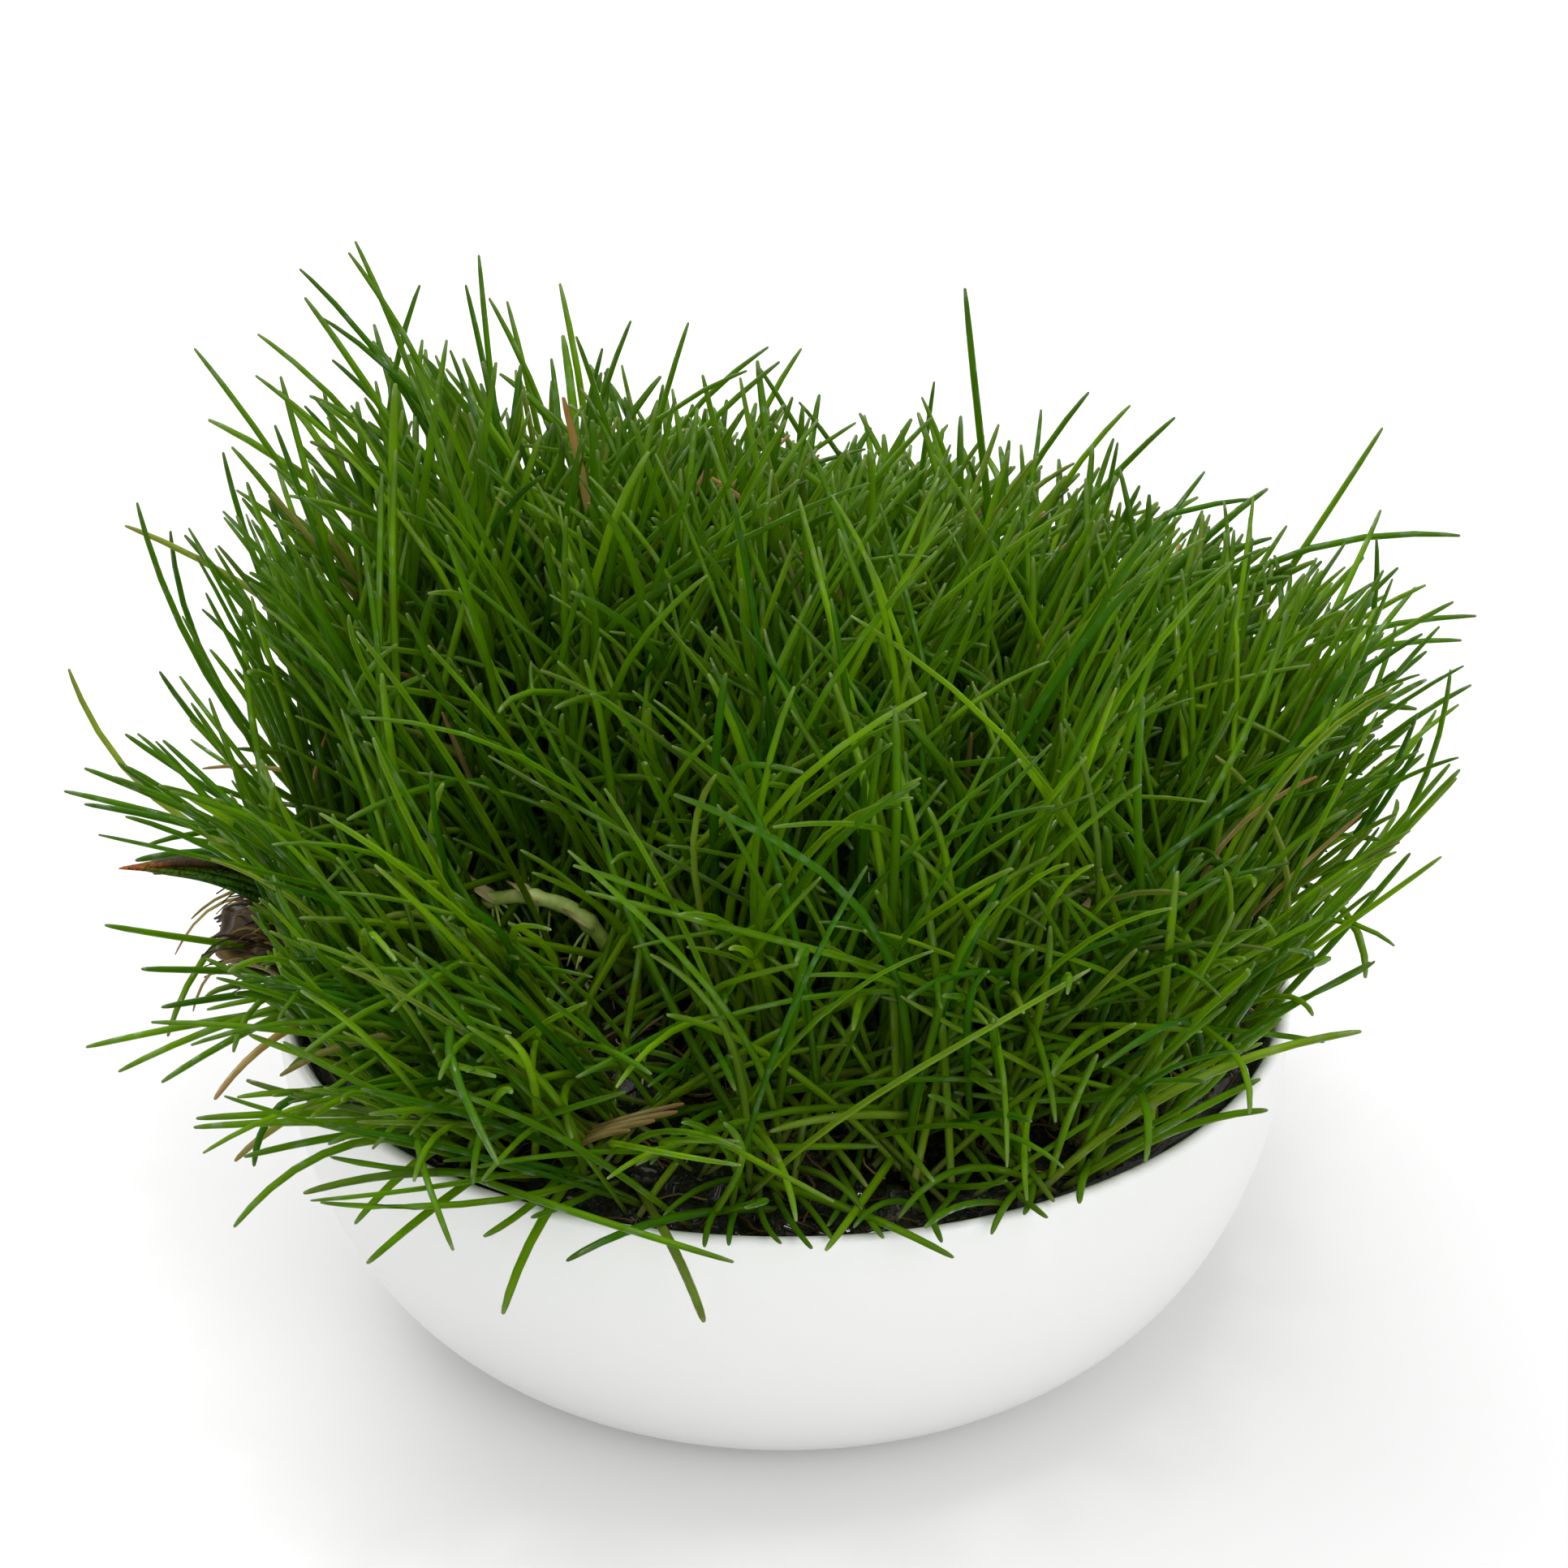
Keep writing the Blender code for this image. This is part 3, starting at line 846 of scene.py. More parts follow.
@dataclass
class Strands:
    """Blades or other thin strands as arrays, one row each; what is given once stands for every row."""

    paths: np.ndarray
    side: np.ndarray
    radius: np.ndarray | float
    flatness: np.ndarray | float = 1.0
    tone: np.ndarray | float = 1.0
    age: np.ndarray | float = 0.0

    def __post_init__(self) -> None:
        """Repeat what is given once."""
        count = len(self.paths)
        self.side = np.broadcast_to(self.side, (count, 3))
        for name in ("radius", "flatness", "tone", "age"):
            setattr(self, name, np.broadcast_to(getattr(self, name), count))

    def part(self, rows: np.ndarray) -> Strands:
        """Keep some rows."""
        return Strands(*(getattr(self, each.name)[rows] for each in fields(self)))

    def joined(self, other: Strands) -> Strands:
        """Put another set's rows after this one's."""
        pairs = ((getattr(self, each.name), getattr(other, each.name)) for each in fields(self))
        return Strands(*(np.concatenate(pair) for pair in pairs))

    def shell(self, profile: np.ndarray, sides: int = 6) -> Shell:
        """Make one closed tube with a blunt tip for each row.

        Args:
            profile: the thickness at each point of the way, as a share of the radius.
            sides: the number of corners round a tube.

        Returns:
            The tubes, with along, edge, tone and age values.
        """
        count, rings = self.paths.shape[:2]
        tangent = unit(np.gradient(self.paths, axis=1))
        across = self.side[:, None, :] - tangent * (tangent * self.side[:, None, :]).sum(-1, keepdims=True)
        across = unit(across)
        over = np.cross(tangent, across)
        turn = np.arange(sides) * math.tau / sides
        wide = self.radius[:, None, None, None] * profile[None, :, None, None]
        thin = wide * self.flatness[:, None, None, None]
        ring = (
            self.paths[:, :, None, :]
            + across[:, :, None, :] * np.cos(turn)[None, None, :, None] * wide
            + over[:, :, None, :] * np.sin(turn)[None, None, :, None] * thin
        )
        tips = self.paths[:, -1] + tangent[:, -1] * (self.radius * profile[-1] * 0.9)[:, None]
        points = np.concatenate([ring.reshape(-1, 3), tips])
        step = np.arange(sides)
        after = (step + 1) % sides
        first = (np.arange(count) * rings * sides)[:, None, None]
        low = first + (np.arange(rings - 1) * sides)[None, :, None]
        quads = np.stack([low + step, low + after, low + sides + after, low + sides + step], axis=-1)
        end = first[:, 0] + (rings - 1) * sides
        tip = np.broadcast_to(len(points) - count + np.arange(count)[:, None], (count, sides))
        caps = np.stack([end + step, end + after, tip], axis=-1)
        roots = first[:, 0] + step[::-1]
        steps = np.linalg.norm(np.diff(self.paths, axis=1), axis=2)
        gone = np.cumsum(np.concatenate([np.zeros((count, 1)), steps], axis=1), axis=1)
        share = gone / gone[:, -1:]
        values = {
            "along": np.concatenate([np.repeat(share.ravel(), sides), np.ones(count)]),
            "edge": np.concatenate([np.tile(np.abs(np.cos(turn)), count * rings), np.full(count, 0.5)]),
        }
        for key, row in (("tone", self.tone), ("age", self.age)):
            values[key] = np.concatenate([np.repeat(row, rings * sides), row])
        return Shell(points, [quads.reshape(-1, 4), caps.reshape(-1, 3), roots.reshape(-1, sides)], values)


@dataclass(frozen=True)
class BladeShape:
    """The form of one hairgrass blade: an even needle with a blunt rounded tip."""

    stations: tuple[float, ...] = (0.0, 0.06, 0.14, 0.24, 0.36, 0.48, 0.60, 0.72, 0.83, 0.92, 0.975, 1.0)
    half_width: float = 0.00036
    flatness: float = 0.76

    def along(self) -> np.ndarray:
        """The places along a blade where it has a ring of corners, as shares of its length."""
        return np.array(self.stations)

    def taper(self) -> np.ndarray:
        """The thickness at those places, as a share of the half width."""
        share = self.along()
        belly = 0.86 + 0.14 * np.sin(np.pi * np.clip(share * 1.2, 0.0, 1.0))
        return belly * np.sqrt(1.0 - 0.82 * share**18)


@dataclass(frozen=True)
class Outline:
    """The closed part of the grass as the photograph shows it, read off in its pixels."""

    corners: tuple = (
        (480, 1445), (380, 1405), (300, 1375), (225, 1330), (215, 1270), (262, 1180), (268, 1100),
        (200, 1050), (185, 990), (235, 925), (288, 870), (282, 790), (300, 700), (306, 610), (322, 540),
        (372, 490), (450, 430), (480, 385), (520, 395), (592, 425), (665, 450), (740, 465), (830, 485),
        (900, 490), (960, 480), (1020, 550), (1130, 545), (1185, 535), (1240, 555), (1330, 565), (1400, 590),
        (1470, 625), (1600, 645), (1690, 700), (1722, 770), (1732, 830), (1722, 900), (1742, 960),
        (1722, 1030), (1662, 1130), (1604, 1230), (1574, 1310), (1560, 1345), (1500, 1402), (1400, 1456),
        (1250, 1502), (1100, 1530), (990, 1540), (850, 1528), (700, 1506), (600, 1484),
    )  # fmt: skip
    middle: tuple[float, float] = (960.0, 1000.0)

    def holds(self, pixels: np.ndarray, spread: np.ndarray) -> np.ndarray:
        """Tell which pixels lie inside.

        Args:
            pixels: (count, places, 2), across and down.
            spread: how much wider the outline is for each of them, as a factor.

        Returns:
            True where inside.
        """
        middle = np.array(self.middle)
        pixels = middle + (pixels - middle) / spread[:, None, None]
        inside = np.zeros(pixels.shape[:-1], dtype=bool)
        ends = (*self.corners[1:], self.corners[0])
        for (x0, y0), (x1, y1) in zip(self.corners, ends):
            if y0 == y1:
                continue
            between = (y0 > pixels[..., 1]) != (y1 > pixels[..., 1])
            crossing = x0 + (pixels[..., 1] - y0) * (x1 - x0) / (y1 - y0)
            inside ^= between & (pixels[..., 0] < crossing)
        return inside


@dataclass
class Growth:
    """How the grass grows: where its rosettes stand, how far they lean and how long they get."""

    filling: Filling
    view: View
    outline: Outline
    tufts: int = 34
    from_edge: float = 0.0028
    middle_length: float = 0.042
    # By azimuth from the right: the lean and the length of the blades at the mat's edge.
    sides: tuple = (
        (0.0, 26.0, 0.041), (45.0, 24.0, 0.038), (90.0, 14.0, 0.044), (118.0, 6.0, 0.058),
        (142.0, 4.0, 0.064), (162.0, 12.0, 0.058), (180.0, 28.0, 0.046), (200.0, 46.0, 0.040),
        (225.0, 50.0, 0.040), (270.0, 25.0, 0.046), (310.0, 28.0, 0.043), (335.0, 30.0, 0.043),
    )  # fmt: skip
    rosettes: int = 520
    rim_rosettes: int = 110
    # How far the rosettes stay from the mat's edge, and how far they stray from their spiral.
    rim_mm: float = 1.2
    stray_mm: float = 0.6
    stray_turn: float = 3.0
    # Between these azimuths the blades stand thickest at the rim.
    thick_rim: tuple[float, float] = (-30.0, 205.0)
    clump_lift: float = 0.10
    clump_waves: tuple[float, ...] = (260.0, 340.0, 430.0, 520.0, 640.0, 780.0)
    blades_each: int = 7
    # How far from the middle the front and the back have grown into their own habits, in mm, and where the
    # painted shade at the front's foot begins and how much further on it is full.
    front_mm: float = 20.0
    back_mm: float = 34.0
    foot_mm: tuple[float, float] = (18.0, 20.0)
    # How far the blades of a rosette stand from its middle, and how deep they are sunk in the mat, in mm.
    ring_mm: float = 0.55
    sunk_mm: float = 0.15
    # The scatter, in degrees, of a blade's place in its rosette, and of the rosette's azimuth and lean.
    place_scatter: float = 20.0
    azimuth_scatter: float = 20.0
    lean_scatter: float = 12.0
    spray: float = 27.0
    least_spray: float = 3.0
    widest_spray: float = 68.0
    sway: float = 38.0
    usual_droop: float = 18.0
    most_droop: float = 80.0
    front_share: float = 0.78
    short_share: float = 0.18
    strays: float = 0.22
    stray_reach: float = 1.13
    ragged: float = 0.075
    # How often a blade is raised, cut back and turned away before it is left out, and by how much.
    raised_times: int = 16
    raised_by: float = 7.0
    cut_times: int = 14
    cut_to: tuple = (("length", 0.94), ("tilt", 0.95), ("droop", 0.9))
    turned_times: int = 5
    turned_by: float = 30.0
    half_width: float = 0.062
    half_depth: float = 0.061
    ceiling: float = 0.0875
    clear_px: float = 9.0
    # The mean tone, how far rosettes and their blades stray from it, and the brightest one.
    tone: float = 0.385
    rosette_tones: float = 0.09
    blade_tones: float = 0.14
    brightest: float = 0.86
    yellow_share: float = 0.08
    yellow_range: tuple[float, float] = (0.05, 0.42)
    dead_share: float = 0.04
    dead_behind: float = 0.012
    widths: tuple[float, float] = (0.78, 1.12)
    back_wider: float = 0.45

    def crowns(self) -> np.ndarray:
        """The places (x, y) of the frame's plantlets, on a golden-angle spiral."""
        index = np.arange(self.tufts)
        ring = np.sqrt((index + 0.5) / self.tufts) * (self.filling.radius() - self.from_edge)
        return level(np.radians(index * GOLDEN_ANGLE))[:, :2] * ring[:, None]

    def nearest_crown(self, roots: np.ndarray) -> np.ndarray:
        """The number of the plantlet nearest each root."""
        return np.linalg.norm(roots[:, None, :2] - self.crowns()[None], axis=-1).argmin(axis=1)

    def at(self, x: np.ndarray, y: np.ndarray) -> tuple[np.ndarray, np.ndarray]:
        """Look up how the grass grows at places on the mat.

        Args:
            x: places across.
            y: places in depth.

        Returns:
            The lean in degrees and the length in metres.
        """
        azimuth = np.degrees(np.arctan2(y, x)) % 360.0
        ring = np.minimum(1.0, np.hypot(x, y) / (self.filling.radius() - self.from_edge))
        table = np.array([*self.sides, (360.0, *self.sides[0][1:])])
        lean, length = (np.interp(azimuth, table[:, 0], table[:, column]) for column in (1, 2))
        return lean * ring**1.3, self.middle_length + (length - self.middle_length) * ring**1.5

    def vigour(self, x: np.ndarray, y: np.ndarray, rng: np.random.Generator) -> np.ndarray:
        """Let some clumps grow taller than others: a length factor for each place."""
        turns, starts = (rng.uniform(0.0, 6.28, len(self.clump_waves)) for _ in range(2))
        clumps = sum(
            np.sin(x * wave * math.cos(turn) + y * wave * math.sin(turn) + start)
            for wave, turn, start in zip(self.clump_waves, turns, starts)
        )
        return 1.0 + self.clump_lift * clumps / math.sqrt(3.0) + rng.normal(0.0, 0.06, len(x))

    def paths(self, roots: np.ndarray, habit: dict[str, np.ndarray], rows: np.ndarray) -> np.ndarray:
        """Draw the centre lines of blades that arch over towards their tips.

        Args:
            roots: where they start.
            habit: each blade's facing, tilt, droop, sway and length.
            rows: which blades to draw.

        Returns:
            (count, stations, 3) points.
        """
        stations = BladeShape().along()
        share = (stations[1:] + stations[:-1]) / 2.0
        facing, tilt, droop, sway, length = (
            habit[key][rows][:, None] for key in ("facing", "tilt", "droop", "sway", "length")
        )
        ways = headings(facing + sway * share**1.3, tilt + droop * share**1.6)
        steps = ways * (length * np.diff(stations))[..., None]
        start = roots[rows][:, None]
        return np.concatenate([start, start + np.cumsum(steps, axis=1)], axis=1)

    def too_low(self, paths: np.ndarray) -> np.ndarray:
        """Tell which blades run into the mat, the gel, the lip or the bowl's side.

        Args:
            paths: the blades' centre lines.

        Returns:
            True where a blade runs into one.
        """
        bowl = self.filling.bowl
        reach = BladeShape().half_width + self.filling.gap
        across = np.hypot(paths[..., 0], paths[..., 1])
        over_lip = across > bowl.rim_radius - bowl.wall - 3.0 * reach
        floor = np.where(over_lip, bowl.height + bowl.wall / 2.0, self.filling.top(across) - reach)
        inside = across < bowl.rim_radius + reach
        low = inside & (paths[..., 2] < floor + reach)
        low[:, :2] &= paths[:, :2, 2] < floor[:, :2] - 2.0 * reach
        return (low | (paths[..., 2] < reach)).any(axis=1)

    def fits(self, paths: np.ndarray, spread: np.ndarray) -> np.ndarray:
        """Tell which blades stay within the grass's outline in the photograph, its depth and its height.

        Args:
            paths: the blades' centre lines.
            spread: how much wider the outline is for each of them.

        Returns:
            True where a blade stays within.
        """
        wide = np.hypot(paths[..., 0] / self.half_width, paths[..., 1] / self.half_depth).max(axis=1) < spread
        wide &= paths[..., 2].max(axis=1) < self.ceiling
        return wide & self.outline.holds(self.view.seen_at(paths[:, 5:]), spread).all(axis=1)

    def hides(self, paths: np.ndarray, plain: np.ndarray) -> np.ndarray:
        """Tell which blades hide what the camera sees plainly.

        Args:
            paths: the blades' centre lines.
            plain: the points that stay in plain view.

        Returns:
            True where a blade hides one.
        """
        seen = self.view.seen_at(plain)
        far = np.linalg.norm(plain - self.view.place(), axis=1)
        middles = (paths[:, 1:] + paths[:, :-1]) / 2.0
        places = np.concatenate([paths[:, 1:], middles], axis=1)
        pixels = self.view.seen_at(places)
        away = np.linalg.norm(places - self.view.place(), axis=2)
        hiding = np.zeros(len(paths), dtype=bool)
        for pixel, distance in zip(seen, far):
            near = np.abs(pixels - pixel).max(axis=2) < self.clear_px
            hiding |= (near & (away < distance)).any(axis=1)
        return hiding

    def rosette_places(self, rng: np.random.Generator) -> tuple[np.ndarray, np.ndarray]:
        """Find where the rosettes stand: on a loose spiral, and more of them at the rim.

        Args:
            rng: the seeded source of variation.

        Returns:
            Their x and their y.
        """
        edge = self.filling.radius() - self.rim_mm * MM
        index = np.arange(self.rosettes)
        ring = np.sqrt((index + 0.5) / self.rosettes) * edge
        turn = np.radians(index * GOLDEN_ANGLE + rng.normal(0.0, self.stray_turn, self.rosettes))
        x = ring * np.cos(turn) + rng.normal(0.0, self.stray_mm * MM, self.rosettes)
        y = ring * np.sin(turn) + rng.normal(0.0, self.stray_mm * MM, self.rosettes)
        scale = np.minimum(1.0, edge / np.maximum(np.hypot(x, y), 1e-6))
        rim = np.radians(rng.uniform(*self.thick_rim, self.rim_rosettes))
        from_axis = edge * rng.uniform(0.86, 1.0, self.rim_rosettes)
        x = np.concatenate([x * scale, from_axis * np.cos(rim)])
        return x, np.concatenate([y * scale, from_axis * np.sin(rim)])

    def zones(self, y: np.ndarray) -> list[np.ndarray]:
        """Each blade's share, from 0 to 1, in the front, the back and the shaded foot of the front."""
        begins, on = self.foot_mm
        shares = -y / (self.front_mm * MM), y / (self.back_mm * MM), (-y - begins * MM) / (on * MM)
        return [np.repeat(np.clip(share, 0.0, 1.0), self.blades_each) for share in shares]

    def sprout(
        self, rng: np.random.Generator, x: np.ndarray, y: np.ndarray
    ) -> tuple[np.ndarray, dict[str, np.ndarray]]:
        """Give each blade its root and its habit.

        Args:
            rng: the seeded source of variation.
            x: where the rosettes stand across.
            y: where they stand in depth.

        Returns:
            The roots, and each blade's facing, tilt, droop, sway and length.
        """
        each, tufted = self.blades_each, len(x)
        total = tufted * each
        lean, length = self.at(x, y)
        front, back, _ = self.zones(y)
        around = np.repeat(rng.uniform(0.0, 360.0, tufted), each)
        around = around + np.tile(np.arange(each) * 360.0 / each, tufted)
        flat = level(np.radians(around + rng.normal(0.0, self.place_scatter, total)))
        lean = lean + rng.normal(0.0, self.lean_scatter, tufted)
        azimuth = np.degrees(np.arctan2(y, x)) + rng.normal(0.0, self.azimuth_scatter, tufted)
        axis = headings(np.repeat(azimuth, each), np.repeat(lean, each))
        # The blades of the front and the back spray out and bend over more than those of the middle.
        spray = np.abs(rng.normal(0.0, self.spray, total)) * (0.8 + 0.45 * front + 0.25 * back)
        spray = np.tan(np.radians(np.minimum(spray + self.least_spray, self.widest_spray)))
        outward = unit(flat - axis * (flat * axis).sum(-1, keepdims=True))
        heading = unit(axis + outward * spray[:, None])
        roots = np.repeat(np.stack([x, y, np.zeros(tufted)], axis=1), each, axis=0) + self.ring_mm * MM * flat
        roots[:, 2] = self.filling.top(np.hypot(roots[:, 0], roots[:, 1])) - self.sunk_mm * MM
        tilt = np.degrees(np.arccos(np.clip(heading[:, 2], -1.0, 1.0)))
        heavy = 0.8 + 0.2 * front + 0.25 * back + np.clip(tilt - 40.0, 0.0, 60.0) / 80.0
        droop = rng.triangular(0.0, self.usual_droop, self.most_droop, total) * heavy
        sway = rng.normal(0.0, self.sway, total) * (1.0 + 0.4 * front)
        length = np.repeat(length * self.vigour(x, y, rng), each) * rng.triangular(0.6, 1.0, 1.25, total)
        short = rng.uniform(size=total) < self.short_share * (1.0 - 0.5 * front)
        length[short] *= rng.uniform(0.4, 0.8, int(short.sum()))
        facing = np.degrees(np.arctan2(heading[:, 1], heading[:, 0]))
        tilt = np.minimum(tilt, 80.0)
        return roots, {"facing": facing, "tilt": tilt, "droop": droop, "sway": sway, "length": length}

    def make_room(
        self, rng: np.random.Generator, roots: np.ndarray, habit: dict[str, np.ndarray], plain: np.ndarray
    ) -> tuple[np.ndarray, np.ndarray]:
        """Raise, cut back and turn away blades until they fit, and thin out the front.

        Args:
            rng: the seeded source of variation.
            roots: where the blades start.
            habit: each blade's facing, tilt, droop, sway and length, which this changes.
            plain: points that stay in plain view.

        Returns:
            The blades' centre lines, and True for each one to keep.
        """
        total = len(roots)
        paths = self.paths(roots, habit, np.ones(total, dtype=bool))
        keep = (roots[:, 1] > 0.0) | (rng.uniform(size=total) < self.front_share)
        # Blades that run into something are raised, and those that reach out too far are cut back.
        for _ in range(self.raised_times):
            low = self.too_low(paths)
            habit["tilt"][low] = np.maximum(habit["tilt"][low] - self.raised_by, 0.0)
            habit["droop"][low] *= 0.85
            paths[low] = self.paths(roots, habit, low)
        within = 1.0 - np.abs(rng.normal(0.0, self.ragged, total))
        stray = rng.uniform(size=total) < self.strays
        spread = np.where(stray, rng.uniform(1.0, self.stray_reach, total), within)
        for _ in range(self.cut_times):
            out = ~self.fits(paths, spread)
            for key, less in self.cut_to:
                habit[key][out] *= less
            paths[out] = self.paths(roots, habit, out)
        # Those that hide what the photograph shows plainly turn away, or are left out.
        hiding = self.hides(paths, plain)
        for _ in range(self.turned_times):
            habit["facing"][hiding] += rng.normal(0.0, self.turned_by, int(hiding.sum()))
            habit["length"][hiding] *= 0.95
            paths[hiding] = self.paths(roots, habit, hiding)
            hiding[hiding] = self.hides(paths[hiding], plain)
        return paths, keep & ~hiding & ~self.too_low(paths) & self.fits(paths, spread)

    def grow(self, rng: np.random.Generator, kept_plain: np.ndarray) -> Strands:
        """Grow the mass of blades.

        Args:
            rng: the seeded source of variation.
            kept_plain: points that stay in plain view.

        Returns:
            The blades.
        """
        x, y = self.rosette_places(rng)
        front, back, foot = self.zones(y)
        roots, habit = self.sprout(rng, x, y)
        paths, keep = self.make_room(rng, roots, habit, kept_plain)
        total = len(roots)
        side = level(np.radians(habit["facing"]))[:, [1, 0, 2]] * [-1.0, 1.0, 1.0]
        # Rosettes differ in tone, and their blades differ again, most of all in front.
        tone = np.repeat(rng.normal(self.tone, self.rosette_tones, len(x)), self.blades_each)
        tone += rng.normal(0.0, self.blade_tones, total) * (1.0 + 0.9 * front)
        # Painted light and shade: the tone is raised a little at the back and in front, and lowered at the
        # front's foot, which the grass above shades.
        tone += 0.02 * back + 0.06 * front - 0.08 * foot
        age = np.zeros(total)
        pick = rng.uniform(size=total) + 0.03 * (1.0 - front)
        yellow = pick < self.yellow_share
        age[yellow] = Tissue.YELLOWING.value * rng.uniform(*self.yellow_range, int(yellow.sum()))
        age[(pick < self.dead_share) & (roots[:, 1] > self.dead_behind)] = Tissue.DEAD.value
        shape = BladeShape()
        radius = shape.half_width * rng.uniform(*self.widths, total) * (1.0 + self.back_wider * back)
        LOG.info("grown %d blades, %d dropped", total, int((~keep).sum()))
        tone = np.clip(tone, 0.0, self.brightest)
        return Strands(paths, side, radius, shape.flatness, tone, age).part(keep)


@dataclass(frozen=True)
class Traced:
    """One blade that the photograph shows plainly: its root, a point on its way and its tip.

    The pixels were read off the photograph. Nearer is how far, in mm, its tip comes towards the camera
    from its root.
    """

    root: tuple[int, int]
    way: tuple[int, int]
    tip: tuple[int, int]
    nearer: float = 0.0
    tone: float = 0.5
    width: float = 1.0
    age: float = 0.0

    def path(self, view: View, filling: Filling, nearer: float) -> np.ndarray:
        """Draw its centre line: a curve through the three points, from its root on the mat.

        Args:
            view: the photograph's camera.
            filling: the mat that it grows on.
            nearer: how far its tip comes towards the camera, in mm.

        Returns:
            (stations, 3) points.
        """
        mat_height, edge, sunk = filling.gel_top() + 4.0 * MM, filling.radius() - 1.0 * MM, 0.15 * MM
        place = view.place()
        sight = view.through(self.root, 0.0) - place
        root = place + sight * (mat_height - place[2]) / sight[2]
        root[:2] *= min(1.0, edge / float(np.hypot(root[0], root[1])))
        root[2] = float(filling.top(np.hypot(root[0], root[1]))) - sunk
        first = math.dist(view.seen_at(root), self.way)
        share = first / (first + math.dist(self.way, self.tip))
        tip = view.through(self.tip, root[1] - nearer * MM)
        way = view.through(self.way, root[1] - nearer * MM * share)
        bend = (way - root * (1.0 - share) ** 2 - tip * share**2) / (2.0 * share * (1.0 - share))
        step = BladeShape().along()[:, None]
        return root * (1.0 - step) ** 2 + bend * 2.0 * step * (1.0 - step) + tip * step**2


